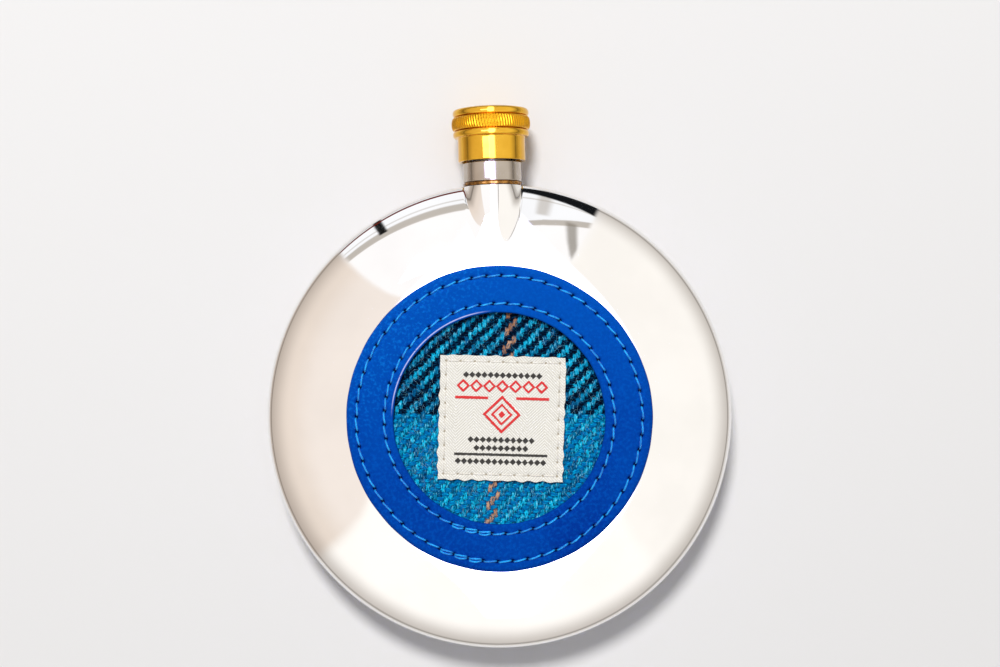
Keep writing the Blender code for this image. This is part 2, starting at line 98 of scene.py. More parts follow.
class Nodes:
    """Adds nodes to a tree from left to right. A value or a colour may stand in place of a socket."""

    def __init__(self, tree):
        self.tree = tree
        self.count = 0

    def add(self, kind, **settings):
        node = self.tree.nodes.new(kind)
        node.location = (180 * (self.count // 4), -220 * (self.count % 4))
        self.count += 1
        for setting, value in settings.items():
            setattr(node, setting, value)
        return node

    def put(self, socket, value):
        if isinstance(value, bpy.types.NodeSocket):
            self.tree.links.new(value, socket)
        else:
            socket.default_value = value

    def math(self, operation, *values):
        node = self.add("ShaderNodeMath", operation=operation)
        for socket, value in zip(node.inputs, values):
            self.put(socket, value)
        return node.outputs[0]

    def mul(self, first, second):
        return self.math("MULTIPLY", first, second)

    def plus(self, first, second):
        return self.math("ADD", first, second)

    def minus(self, first, second):
        return self.math("SUBTRACT", first, second)

    def ramp(self, value, low, high, start=0.0, end=1.0):
        """Smoothly from start to end as the value goes from low to high."""
        node = self.add("ShaderNodeMapRange", interpolation_type="SMOOTHSTEP")
        for name, number in (("Value", value), ("From Min", low), ("From Max", high)):
            self.put(node.inputs[name], number)
        node.inputs["To Min"].default_value = start
        node.inputs["To Max"].default_value = end
        return node.outputs[0]

    def between(self, value, low, high, soft):
        """1 between low and high, and 0 outside, with soft edges."""
        rise = self.ramp(value, low - soft, low + soft)
        fall = self.ramp(value, high - soft, high + soft, 1.0, 0.0)
        return self.math("MULTIPLY", rise, fall)

    def mix(self, share, first, second, blend="MIX"):
        node = self.add("ShaderNodeMix", data_type="RGBA", blend_type=blend)
        self.put(node.inputs["Factor"], share)
        for socket, colour in ((node.inputs["A"], first), (node.inputs["B"], second)):
            if isinstance(colour, tuple):
                colour = (*colour, 1.0)
            self.put(socket, colour)
        return node.outputs["Result"]

    def parts(self, vector):
        node = self.add("ShaderNodeSeparateXYZ")
        self.put(node.inputs[0], vector)
        return node.outputs

    def vector(self, x, y, z):
        node = self.add("ShaderNodeCombineXYZ")
        for socket, value in zip(node.inputs, (x, y, z)):
            self.put(socket, value)
        return node.outputs[0]

    def noise(self, vector, scale, detail=2.0):
        node = self.add("ShaderNodeTexNoise")
        for name, value in (("Vector", vector), ("Scale", scale), ("Detail", detail)):
            self.put(node.inputs[name], value)
        return node.outputs["Fac"]


def light_tent(world):
    """The tent's walls by direction. The camera itself sees a plain pale backdrop in its place."""
    world.use_nodes = True
    tree = world.node_tree
    tree.nodes.clear()
    n = Nodes(tree)
    x, y, z = n.parts(n.add("ShaderNodeTexCoord").outputs["Generated"])
    turn = n.mul(n.math("ARCTAN2", y, x), 180 / math.pi)
    # Walls: the right one from -45 to 62 degrees, the window side to 135, the left one to 217.
    wall = n.mix(n.ramp(turn, 58.0, 64.0), RIGHT_CLOTH, WINDOW_CLOTH)
    left = n.mix(n.ramp(z, 0.42, 0.80), LEFT_CLOTH_LOW, LEFT_CLOTH)
    wall = n.mix(n.ramp(turn, 133.0, 136.5), wall, left)
    wall = n.mix(n.ramp(turn, -143.5, -138.5), left, wall)
    near = n.between(turn, -141.0, -47.0, 3.0)
    wall = n.mix(near, wall, NEAR_CLOTH)
    # The cloth's lower part hangs in shade, over a dark gap between its hem and the table.
    wall = n.mix(n.ramp(z, 0.06, 0.45, 0.58, 0.0), wall, CLOTH_SHADE)
    wall = n.mix(n.ramp(z, 0.0, 0.10, 0.60, 0.0), wall, HEM_GAP)
    # Window side: across and up are slopes on a wall that stands towards +Y.
    towards = n.math("MAXIMUM", y, 0.02)
    across = n.math("DIVIDE", x, towards)
    up = n.math("DIVIDE", z, towards)
    window_side = n.between(turn, 61.5, 134.5, 0.8)
    sill_right = n.plus(n.mul(across, -0.95), 1.08)
    right_half = n.ramp(across, -0.02, 0.02)
    sill = n.add("ShaderNodeMix", data_type="FLOAT")
    for name, value in (("Factor", right_half), ("A", 0.47), ("B", sill_right)):
        n.put(sill.inputs[name], value)
    over_sill = n.minus(up, sill.outputs["Result"])
    bars = [
        (n.between(over_sill, -0.07, 0.08, 0.02), 0.85),
        (n.mul(n.between(up, 0.31, 0.335, 0.012), window_side), 0.55),
        (n.mul(n.between(across, 0.22, 0.29, 0.02), n.ramp(up, 0.60, 0.68, 1.0, 0.0)), 0.6),
    ]
    panes = n.ramp(over_sill, 0.0, 0.02, 1.0, 0.0)
    view = n.mix(panes, WINDOW_CLOTH, LOW_PANES)
    for mask, strength in bars:
        view = n.mix(n.mul(mask, strength), view, WINDOW_FRAME)
    post_line = n.minus(across, n.mul(up, 0.10))
    post = n.mul(n.between(post_line, 0.33, 0.40, 0.02), n.ramp(up, 0.62, 0.72))
    view = n.mix(n.mul(post, 0.8), view, WINDOW_POST)
    stand = n.between(across, -0.66, -0.60, 0.01)
    stand = n.mul(stand, n.ramp(up, 0.44, 0.47, 1.0, 0.0))
    view = n.mix(stand, view, DARK_STAND)
    over_dark = n.minus(up, n.mul(across, 0.28))
    dark_right = n.mul(n.ramp(over_dark, 0.16, 0.19, 1.0, 0.0), n.ramp(across, 0.02, 0.06))
    view = n.mix(dark_right, view, DARK_ROOM)
    dark_left = n.mul(n.ramp(up, 0.12, 0.15, 1.0, 0.0), n.ramp(across, -0.06, -0.02, 1.0, 0.0))
    view = n.mix(dark_left, view, RED_ROOM)
    light = n.mix(window_side, wall, view)
    # Roof: a long bright strip along the flask.
    lean = n.mul(n.math("ARCTAN2", x, n.math("MAXIMUM", z, 0.001)), 180 / math.pi)
    strip = n.between(lean, -8.0, 11.5, 1.5)
    strip = n.mul(strip, n.ramp(z, 0.50, 0.70))
    light = n.mix(strip, light, ROOF_LIGHT)
    light = n.mix(n.ramp(z, -0.02, 0.0, 1.0, 0.0), light, FAR_FLOOR)
    # Dull surfaces get an even, weak light from all round, so that the key light makes the shadows.
    path = n.add("ShaderNodeLightPath")
    light = n.mix(path.outputs["Is Diffuse Ray"], light, FILL_LIGHT)
    light = n.mix(path.outputs["Is Camera Ray"], light, PAPER_COLOUR)
    background = n.add("ShaderNodeBackground")
    n.put(background.inputs["Color"], light)
    tree.links.new(background.outputs[0], n.add("ShaderNodeOutputWorld").inputs["Surface"])


studio = bpy.data.worlds.new("studio")
# Without light sampling of the world, dull surfaces meet it by diffuse rays only, as the fill asks.
studio.cycles.sampling_method = "NONE"
bpy.context.scene.world = studio
light_tent(studio)
bpy.context.scene.view_settings.view_transform = "Standard"


def area_light(name, shape, size, energy, colour, place):
    data = bpy.data.lights.new(name, "AREA")
    data.shape = shape
    data.size, data.size_y = size
    data.energy = energy
    data.color = colour
    light = bpy.data.objects.new(name, data)
    light.location = place
    bpy.context.scene.collection.objects.link(light)
    return light


key = area_light("key_light", "DISK", (0.32, 0.32), 14.6, (1.0, 0.995, 0.985), (-0.129, 0.663, 1.169))
key.rotation_euler = (math.radians(-30), 0.0, math.radians(11))
key.visible_glossy = False
# A small reflector close above the neck widens the band of light that the neck and cap mirror.
reflector_place = (-0.0255, 0.069, 0.090)
reflector = area_light("reflector", "RECTANGLE", (0.033, 0.028), 0.0187, (0.53, 0.55, 1.0), reflector_place)
reflector.visible_camera = False
reflector.visible_diffuse = False

nothing_selected()
bpy.ops.mesh.primitive_plane_add(size=TABLE_SIZE, location=(0.0, 0.0, 0.0))
table = named("table")
table_finish = bpy.data.materials.new("pale board")
table_finish.use_nodes = True
paint = table_finish.node_tree.nodes["Principled BSDF"]
paint.inputs["Base Color"].default_value = (*TABLE_COLOUR, 1.0)
paint.inputs["Roughness"].default_value = 0.6
paint.inputs["Specular IOR Level"].default_value = 0.0
# Seen in the flask's polished rim, the far board shines and mirrors the tent.
n = Nodes(table_finish.node_tree)
shine = n.add("ShaderNodeBsdfGlossy")
shine.inputs["Roughness"].default_value = 0.05
grazing = n.ramp(n.add("ShaderNodeLayerWeight").outputs["Facing"], 0.45, 0.75)
grazing = n.mul(grazing, n.add("ShaderNodeLightPath").outputs["Is Glossy Ray"])
both = n.add("ShaderNodeMixShader")
for socket, value in zip(both.inputs, (grazing, paint.outputs[0], shine.outputs[0])):
    n.put(socket, value)
n.put(table_finish.node_tree.nodes["Material Output"].inputs["Surface"], both.outputs[0])
table.data.materials.append(table_finish)

# ------------------------------------------------------------------ body
# Two half shells pressed from polished stainless sheet and welded edge to edge round the rim. A bell
# pressed into both halves carries the neck. Each is spun from its half outline, then the bell raised.
LAND_RADIUS = 0.033
RIM_RADIUS = 0.0036
RIM_CENTRE = 0.0514
SEAM_HALF = 0.0006
SHEET = 0.0007
SEAM_GAP = 0.00004
BELL_END = 0.0544
BELL_ROOT = 0.03817
BELL_RADIUS = 0.0097
BELL_BEND = 0.0484
SEAT_INNER = 0.0054
PRESS_FILLET = 0.0010
NECK_SECTOR = math.radians(14)
CROWN_SLOPE = 2 * math.atan2(MID_PLANE - SEAM_HALF - RIM_RADIUS, RIM_CENTRE - LAND_RADIUS)
CROWN_RADIUS = RIM_RADIUS + (RIM_CENTRE - LAND_RADIUS) / math.sin(CROWN_SLOPE)
QUARTER = math.pi / 2


def arc_points(centre, radius, start, end, steps):
    """Points on an arc from one angle to another, both ends included."""
    turns = np.linspace(start, end, steps + 1)
    return [(centre[0] + radius * math.cos(a), centre[1] + radius * math.sin(a)) for a in turns]


def outline_object(name, points):
    """One vertex drawn out point by point into an outline, as (across, up) in the XZ plane."""
    nothing_selected()
    bpy.ops.mesh.primitive_plane_add(size=0.001, location=(points[0][0], 0.0, points[0][1]))
    obj = named(name)
    bpy.ops.object.transform_apply(location=True, rotation=True, scale=True)
    bpy.ops.object.mode_set(mode="EDIT")
    bpy.ops.mesh.select_mode(type="VERT")
    bpy.ops.mesh.select_all(action="SELECT")
    bpy.ops.mesh.merge(type="CENTER")
    for near, far in zip(points, points[1:]):
        step = (far[0] - near[0], 0.0, far[1] - near[1])
        bpy.ops.mesh.extrude_region_move(TRANSFORM_OT_translate={"value": step})
    return obj


def spun(name, points, steps, axis=(0, 0, 1), centre=(0, 0, 0)):
    """The outline turned once round an axis, its doubles merged and its faces turned outwards."""
    obj = outline_object(name, points)
    bpy.ops.mesh.select_all(action="SELECT")
    bpy.ops.mesh.spin(steps=steps, angle=math.tau, center=centre, axis=axis)
    tidy_faces()
    return obj


def tidy_faces():
    """Merges what spin or mirror left double, turns faces outwards and goes back to object mode."""
    bpy.ops.mesh.select_all(action="SELECT")
    bpy.ops.mesh.remove_doubles(threshold=2e-6)
    bpy.ops.mesh.select_all(action="SELECT")
    bpy.ops.mesh.normals_make_consistent(inside=False)
    bpy.ops.object.mode_set(mode="OBJECT")


def corners(obj):
    """The mesh's vertices as an array."""
    spots = np.empty(len(obj.data.vertices) * 3, np.float32)
    obj.data.vertices.foreach_get("co", spots)
    return spots.reshape(-1, 3).astype(float)


def move_corners(obj, spots):
    obj.data.vertices.foreach_set("co", np.asarray(spots, np.float32).ravel())
    obj.data.update()


def pick(obj):
    """Selects this object alone and makes it active."""
    nothing_selected()
    obj.select_set(True)
    bpy.context.view_layer.objects.active = obj


def smooth(obj, angle=50):
    pick(obj)
    bpy.ops.object.shade_smooth_by_angle(angle=math.radians(angle))


def thicken(obj, name, thickness):
    """Gives an open skin its thickness, inwards from the face that it has."""
    wall = obj.modifiers.new(name, "SOLIDIFY")
    wall.thickness = thickness
    wall.offset = -1.0
    pick(obj)
    bpy.ops.object.modifier_apply(modifier=name)


def finish_piece(obj, finish, body, slot, *nodes):
    """The piece gets its finish, moves with its body and stands for its CAD nodes. Its slot is not used."""
    obj.data.materials.clear()
    obj.data.materials.append(finish)
    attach(obj, body)
    if nodes:
        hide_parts(*nodes)


def shell_outline():
    """Half section over the mid-plane: flat land, crown, rim bend and seam edge."""
    land = [(r, MID_PLANE) for r in (0.0, 0.008, 0.016, 0.024, 0.029, 0.0315)]
    crown_centre = (LAND_RADIUS, MID_PLANE - CROWN_RADIUS)
    crown = arc_points(crown_centre, CROWN_RADIUS, QUARTER, QUARTER - CROWN_SLOPE, 44)
    rim = arc_points((RIM_CENTRE, SEAM_HALF), RIM_RADIUS, QUARTER - CROWN_SLOPE, 0.0, 14)
    edge = [(RIM_CENTRE + RIM_RADIUS, SEAM_HALF / 2), (RIM_CENTRE + RIM_RADIUS, SEAM_GAP / 2)]
    return land + crown + rim[1:] + edge


def press_bell(spots):
    """Raises the bell under the neck, with a small fillet all round its foot, and cuts its seat."""
    x, y, height = spots.T
    radius = np.hypot(x, y)
    turn = np.arctan2(x, y)
    at_neck = (np.abs(turn) < NECK_SECTOR) & (radius > 0.030)
    # Near the neck the outline stops at the collar's seat, and its last part runs down the seat.
    seat_share = np.clip((math.sin(math.radians(7.27)) - np.abs(np.sin(turn))) / 0.004, 0, 1)
    reach = BELL_END / np.cos(turn)
    rim = RIM_CENTRE + RIM_RADIUS
    squeeze = np.where(radius > 0.048, (radius - 0.048) / (rim - 0.048), 0.0)
    seat_radius = radius + (reach - rim) * squeeze * seat_share
    radius = np.where(at_neck, seat_radius, radius)
    x = np.where(at_neck, radius * np.sin(turn), x)
    y = np.where(at_neck, radius * np.cos(turn), y)
    along = np.clip(y - BELL_ROOT, 0.0, None)
    bell = BELL_RADIUS - BELL_BEND + np.sqrt(BELL_BEND**2 - along**2)
    inside = bell**2 - x**2
    bell_height = np.sqrt(np.clip(inside, 0.0, None)) - 10 * np.sqrt(np.clip(-inside, 0.0, None))
    fillet = np.clip(PRESS_FILLET - np.abs(bell_height - height), 0.0, None)
    raised = np.maximum(bell_height, height) + fillet**2 / (4 * PRESS_FILLET)
    on_edge = height < SEAM_HALF * 0.9
    seat_level = np.sqrt(np.clip(SEAT_INNER**2 - x**2, 0.0, None)) + 1e-4
    raised = np.where(on_edge, height + (np.minimum(seat_level, raised) - height) * seat_share, raised)
    height = np.where(at_neck & (y > 0.034), raised, height)
    return np.stack([x, y, height], axis=1)


def pressed_shell(name, side):
    """One half shell, its outer face true to the CAD body. The side is 1 at the front, -1 at the back."""
    obj = outline_object(name, shell_outline())
    bpy.ops.mesh.select_all(action="SELECT")
    bpy.ops.transform.rotate(
        value=-(math.pi / 2 + NECK_SECTOR), orient_axis="Z", center_override=(0.0, 0.0, 0.0)
    )
    bpy.ops.mesh.spin(steps=160, angle=2 * NECK_SECTOR, center=(0, 0, 0), axis=(0, 0, 1))
    bpy.ops.mesh.spin(steps=170, angle=math.tau - 2 * NECK_SECTOR, center=(0, 0, 0), axis=(0, 0, 1))
    tidy_faces()
    spots = press_bell(corners(obj))
    spots[:, 2] = MID_PLANE + side * spots[:, 2]
    move_corners(obj, spots)
    if (sum(face.normal.z for face in obj.data.polygons) > 0) != (side > 0):
        obj.data.flip_normals()
    thicken(obj, "wall", SHEET)
    smooth(obj)
    return obj


def mottle_group():
    """Soft cloudy mask for smudges, dye and tarnish: cloud from 0 to 1, and fine grain for bumps."""
    tree = bpy.data.node_groups.new("cloud and grain", "ShaderNodeTree")
    for name in ("Cloud", "Grain"):
        tree.interface.new_socket(f"{name} Scale", in_out="INPUT", socket_type="NodeSocketFloat")
        tree.interface.new_socket(name, in_out="OUTPUT", socket_type="NodeSocketFloat")
    n = Nodes(tree)
    given = n.add("NodeGroupInput")
    made = n.add("NodeGroupOutput")
    where = n.add("ShaderNodeTexCoord").outputs["Object"]
    cloud = n.noise(where, given.outputs["Cloud Scale"], 3.0)
    n.put(made.inputs["Cloud"], n.ramp(cloud, 0.33, 0.67))
    n.put(made.inputs["Grain"], n.noise(where, given.outputs["Grain Scale"], 4.0))
    return tree


CLOUD_AND_GRAIN = mottle_group()


def new_finish(name):
    """A material with its shader and its node helper ready."""
    material = bpy.data.materials.new(name)
    material.use_nodes = True
    n = Nodes(material.node_tree)
    n.count = 4
    return material, material.node_tree.nodes["Principled BSDF"], n


def clouds(n, cloud_scale, grain_scale):
    group = n.add("ShaderNodeGroup")
    group.node_tree = CLOUD_AND_GRAIN
    group.inputs["Cloud Scale"].default_value = cloud_scale
    group.inputs["Grain Scale"].default_value = grain_scale
    return group.outputs["Cloud"], group.outputs["Grain"]


def bump(n, shader, height, distance, strength=1.0):
    node = n.add("ShaderNodeBump")
    node.inputs["Strength"].default_value = strength
    node.inputs["Distance"].default_value = distance
    n.put(node.inputs["Height"], height)
    n.put(shader.inputs["Normal"], node.outputs["Normal"])


def dull_finish(name, dark, pale, roughness, scales, depth):
    """Foam, board, plastic, rubber or wool: clouds of two close colours, and a fine grain to a depth."""
    material, shader, n = new_finish(name)
    cloud, grain = clouds(n, *scales)
    n.put(shader.inputs["Base Color"], n.mix(cloud, dark, pale))
    shader.inputs["Roughness"].default_value = roughness
    if depth:
        bump(n, shader, grain, depth)
    return material


def polished_steel():
    material, shader, n = new_finish("polished steel")
    cloud, grain = clouds(n, 55.0, 900.0)
    shader.inputs["Metallic"].default_value = 1.0
    n.put(shader.inputs["Base Color"], n.mix(cloud, (0.86, 0.845, 0.83), (0.90, 0.885, 0.87)))
    n.put(shader.inputs["Roughness"], n.ramp(cloud, 0.0, 1.0, 0.02, 0.04))
    bump(n, shader, n.plus(grain, n.mul(cloud, 6.0)), 0.0000006)
    return material


STEEL = polished_steel()
for shell_name, node_name, shell_side in (
    ("flask_front", "front_shell", 1),
    ("flask_back", "back_shell", -1),
):
    shell = pressed_shell(shell_name, shell_side)
    finish_piece(shell, STEEL, "flask", "polished_steel", node_name)

# ------------------------------------------------------------------ under the patch
# A foam adhesive ring holds a dark backing board to the front land. Both are die-cut rings, seen only
# as thin lines from the side. The bobbin threads lie on the back of the board.
MM = 0.001


def turned_ring(name, inner, outer, bottom, top, soft, steps=160):
    """A flat ring with softly rounded corners, from radii and heights in millimetres."""
    outline = arc_points((outer - soft, bottom + soft), soft, -QUARTER, 0.0, 3)
    outline += arc_points((outer - soft, top - soft), soft, 0.0, QUARTER, 3)
    outline += arc_points((inner + soft, top - soft), soft, QUARTER, 2 * QUARTER, 3)
    outline += arc_points((inner + soft, bottom + soft), soft, 2 * QUARTER, 3 * QUARTER, 3)
    outline.append(outline[0])
    return spun(name, [(r * MM, z * MM) for r, z in outline], steps)


foam_colours = (0.60, 0.59, 0.56), (0.72, 0.71, 0.68)
foam = dull_finish("adhesive foam", *foam_colours, 0.85, (400.0, 2500.0), 0.00006)
board_colours = (0.010, 0.018, 0.060), (0.018, 0.032, 0.095)
board = dull_finish("backing board", *board_colours, 0.75, (150.0, 1800.0), 0.00005)
for ring_name, ring_sizes, ring_finish, ring_slot, ring_node in (
    ("foam_ring", (27.0, 32.4, 21.02, 21.88, 0.05), foam, "adhesive_foam", "patch_adhesive"),
    ("backing_ring", (22.0, 34.7, 21.92, 22.72, 0.12), board, "backing_board", "patch_backing"),
):
    ring = turned_ring(ring_name, *ring_sizes)
    smooth(ring, 35)
    finish_piece(ring, ring_finish, "flask", ring_slot, ring_node)

# ------------------------------------------------------------------ leather ring
# A ring of blue full-grain leather, 1.4 mm thick, cut with a round window. Its outer edge is pressed
# down over the cloth. Two rows of machine stitches pull it into shallow channels, pricked by holes.
LEATHER_INNER = 24.29
LEATHER_OUTER = 35.19
LEATHER_FOOT = 23.74
LEATHER_FACE = 25.12
LIP_FOOT = 22.80
SEAM_ROWS = (("outer", 32.79, 60, 0.6), ("inner", 26.39, 52, 0.2))
RING_STEPS = 760
STITCH_SLANT = 0.16
PRICK_DEPTH = 0.88
PRICK_REACH = 0.36


def leather_outline():
    """Closed section in millimetres: window edge, face with close points at the seams, lip and foot."""
    edge = 0.42
    outline = [(LEATHER_INNER + 0.05, LEATHER_FOOT), (LEATHER_INNER, LEATHER_FOOT + 0.3)]
    outline += arc_points((LEATHER_INNER + edge, LEATHER_FACE - edge), edge, 2 * QUARTER, QUARTER, 5)
    radius = LEATHER_INNER + edge
    while radius < LEATHER_OUTER - 1.05:
        near_seam = min(abs(radius - row[1]) for row in SEAM_ROWS)
        radius += 0.16 if near_seam < 0.9 else 0.30
        outline.append((radius, LEATHER_FACE))
    shoulder = 0.95
    bend = LEATHER_OUTER - shoulder, LEATHER_FACE - shoulder
    outline += arc_points(bend, shoulder, QUARTER, 0.0, 8)[1:]
    outline += [(LEATHER_OUTER, LIP_FOOT + 0.2), (LEATHER_OUTER - 0.2, LIP_FOOT)]
    outline += [(LEATHER_OUTER - 0.55, LIP_FOOT + 0.05), (LEATHER_OUTER - 0.65, LEATHER_FOOT)]
    return outline + [(30.0, LEATHER_FOOT), outline[0]]


def seam_field(x, y):
    """(channel, prick) for points on the ring: nearness to a seam line, and to a needle hole."""
    radius = np.hypot(x, y)
    turn = np.arctan2(y, x)
    channel = np.zeros_like(radius)
    prick = np.zeros_like(radius)
    for _, seam, count, start in SEAM_ROWS:
        step = math.tau / count
        off = (turn / step - start + 0.5) % 1.0 - 0.5
        along = off * step * seam
        across = radius - seam
        pull = 0.55 + 0.45 * np.cos(math.tau * off)
        channel = np.maximum(channel, np.exp(-((across / 0.62) ** 2)) * pull)
        oval = (along / 1.40) ** 2 + (across / 1.10) ** 2
        prick = np.maximum(prick, np.exp(-oval / PRICK_REACH**2))
    return channel, prick


def shaped_leather():
    obj = spun("leather_ring_face", [(r * MM, z * MM) for r, z in leather_outline()], RING_STEPS)
    spots = corners(obj) / MM
    x, y, z = spots.T
    radius = np.hypot(x, y)
    turn = np.arctan2(y, x)
    channel, prick = seam_field(x, y)
    on_face = np.clip((z - 24.2) / 0.6, 0.0, 1.0)
    middle = np.clip(1 - ((radius - 29.6) / 2.6) ** 2, 0.0, None)
    lift = 0.07 * middle - 0.20 * channel - PRICK_DEPTH * prick
    # The hide is never quite even: long low waves, and the rims a little out of round.
    lift += 0.025 * np.sin(5 * turn + 0.7 * radius) + 0.018 * np.sin(13 * turn - 1.3 * radius)
    spots[:, 2] += lift * on_face
    rim = np.clip((radius - 34.2) / 0.8, 0.0, 1.0) - np.clip((25.0 - radius) / 0.6, 0.0, 1.0)
    wander = 0.05 * np.sin(3 * turn + 1) + 0.03 * np.sin(11 * turn) + 0.02 * np.sin(29 * turn + 2)
    scale = 1 + rim * wander / radius
    spots[:, 0] *= scale
    spots[:, 1] *= scale
    move_corners(obj, spots * MM)
    hole_shade = obj.data.attributes.new("needle_hole", "FLOAT", "POINT")
    hole_shade.data.foreach_set("value", (prick * on_face).astype(np.float32))
    smooth(obj, 60)
    return obj


def leather_finish():
    material, shader, n = new_finish("blue leather")
    cloud, grain = clouds(n, 60.0, 1400.0)
    where = n.add("ShaderNodeTexCoord").outputs["Object"]
    pores = n.add("ShaderNodeTexVoronoi", feature="DISTANCE_TO_EDGE")
    n.put(pores.inputs["Vector"], where)
    pores.inputs["Scale"].default_value = 2100.0
    x, y, _ = n.parts(where)
    # Painted light: the dye is lighter towards the neck and darker towards the foot, as the light falls
    # from the top. It also lies in fine flecks.
    painted_top_light = n.ramp(n.minus(y, n.mul(x, 0.08)), -0.034, 0.034)
    dye = n.mix(painted_top_light, (0.0003, 0.032, 0.285), (0.0006, 0.074, 0.440))
    dye = n.mix(n.mul(cloud, 0.35), dye, (0.0006, 0.080, 0.460))
    dye = n.mix(n.ramp(grain, 0.40, 0.72, 0.0, 0.40), dye, (0.001, 0.110, 0.560))
    radius = n.math("SQRT", n.plus(n.mul(x, x), n.mul(y, y)))
    # Painted sheen: paler flecks in the grain at the upper left, beside the stitches, on the side towards
    # the light.
    sheen_side = n.ramp(n.minus(y, x), 0.022, 0.044)
    pull = n.mul(n.ramp(grain, 0.50, 0.70), sheen_side)
    dye = n.mix(n.mul(pull, 0.45), dye, (0.004, 0.20, 0.72))
    # A paler raw line on the window's rounded edge, shown only at the upper left: partly the edge's own
    # colour, partly a painted highlight where it catches the light.
    raw_edge_highlight = n.between(radius, 0.02462, 0.02486, 0.00006)
    raw_edge_highlight = n.mul(raw_edge_highlight, n.ramp(n.minus(y, x), 0.0255, 0.0310))
    raw_edge_highlight = n.mul(raw_edge_highlight, n.ramp(grain, 0.26, 0.40))
    dye = n.mix(raw_edge_highlight, dye, (0.48, 0.52, 0.88))
    # Painted shade in the needle holes.
    hole = n.add("ShaderNodeAttribute", attribute_name="needle_hole").outputs["Fac"]
    dye = n.mix(n.ramp(hole, 0.20, 0.55), dye, (0.0005, 0.006, 0.085))
    edge = n.ramp(radius, 0.03500, 0.03516)
    dye = n.mix(n.mul(edge, 0.6), dye, (0.0006, 0.016, 0.17))
    n.put(shader.inputs["Base Color"], dye)
    n.put(shader.inputs["Roughness"], n.ramp(cloud, 0.0, 1.0, 0.40, 0.52))
    shader.inputs["Specular IOR Level"].default_value = 0.02
    crease = n.mul(n.ramp(pores.outputs["Distance"], 0.0, 0.16), 0.6)
    bump(n, shader, n.plus(crease, grain), 0.00004, 0.5)
    return material


finish_piece(shaped_leather(), leather_finish(), "flask", "blue_leather", "leather_ring")

# ------------------------------------------------------------------ ring stitches
# Two rows of lockstitch in bonded bright blue thread, three plies twisted. Each stitch lies a little
# aslant between its holes. At the foot of each row three stitches are doubled, where the ends meet.
STITCH_SIDES = 9
STITCH_RINGS = 15
THREAD_RADIUS = 0.21
PLY_TWIST = 5.2
DOUBLED_TURN = math.radians(251)


def stitch_mesh(name, path, radius, twist, sides=STITCH_SIDES, face=LEATHER_FACE):
    """A three-ply thread along a path: a circle is drawn out ring by ring, then bulged and twisted.
    How far each ring lies under the face is kept as needle_hole, for the shade in the hole."""
    nothing_selected()
    bpy.ops.mesh.primitive_circle_add(vertices=sides, radius=radius * MM, fill_type="NGON")
    obj = named(name)
    bpy.ops.object.mode_set(mode="EDIT")
    bpy.ops.mesh.select_all(action="SELECT")
    for _ in path[1:]:
        bpy.ops.mesh.extrude_region_move(TRANSFORM_OT_translate={"value": (0.0, 0.0, 0.0001)})
    bpy.ops.object.mode_set(mode="OBJECT")
    path = np.array(path)
    along = np.gradient(path, axis=0)
    along /= np.linalg.norm(along, axis=1)[:, None]
    across = np.stack([-along[:, 1], along[:, 0], np.zeros(len(path))], axis=1)
    across /= np.linalg.norm(across, axis=1)[:, None]
    above = np.cross(along, across)
    around = np.arange(sides) / sides * math.tau
    rows = []
    for i, share in enumerate(np.linspace(0.0, 1.0, len(path))):
        bulge = radius * (1 + 0.16 * np.cos(3 * (around - twist * share)))
        ring = np.cos(around)[:, None] * across[i] + np.sin(around)[:, None] * above[i]
        rows.append(path[i] + bulge[:, None] * ring)
    move_corners(obj, np.concatenate(rows) * MM)
    sunk = np.clip((face - 0.25 - path[:, 2]) / 0.45, 0.0, 1.0)
    shade = obj.data.attributes.new("needle_hole", "FLOAT", "POINT")
    shade.data.foreach_set("value", np.repeat(sunk, sides).astype(np.float32))
    bpy.ops.object.mode_set(mode="EDIT")
    tidy_faces()
    return obj


def eased(share):
    """From 0 to 1 with a soft start and a soft stop, for arrays."""
    share = np.clip(share, 0.0, 1.0)
    return share * share * (3 - 2 * share)


def ring_stitch_path(seam, count, start, index, shift, sag):
    """From hole to hole: up out of the first, along the leather a little aslant, and down the next."""
    step = math.tau / count
    shares = np.linspace(0.0, 1.0, STITCH_RINGS)
    turn = (index + start + shares) * step
    lean = STITCH_SLANT * np.clip((0.5 - shares) * 2.6, -1.0, 1.0)
    bow = sag * np.sin(math.pi * shares)
    radius = seam + lean + shift + bow
    rise = eased((np.minimum(shares, 1 - shares) - 0.05) / 0.13)
    height = 24.02 + 1.04 * rise + 0.06 * np.sin(math.pi * shares)
    return [(r * math.cos(a), r * math.sin(a), z) for r, a, z in zip(radius, turn, height)]


def seam_piece(name, stitches):
    nothing_selected()
    for stitch in stitches:
        stitch.select_set(True)
    bpy.context.view_layer.objects.active = stitches[0]
    bpy.ops.object.join()
    piece = named(name)
    smooth(piece, 70)
    return piece


def thread_finish(name, dark, light, roughness):
    material, shader, n = new_finish(name)
    cloud, grain = clouds(n, 500.0, 3000.0)
    # Painted shade: the thread darkens where it runs down into a needle hole.
    sunk = n.add("ShaderNodeAttribute", attribute_name="needle_hole").outputs["Fac"]
    hole_shade_colour = tuple(value * 0.08 for value in dark)
    n.put(shader.inputs["Base Color"], n.mix(sunk, n.mix(cloud, dark, light), hole_shade_colour))
    shader.inputs["Roughness"].default_value = roughness
    shader.inputs["Sheen Weight"].default_value = 0.25
    shader.inputs["Sheen Roughness"].default_value = 0.4
    bump(n, shader, grain, 0.00003)
    return material


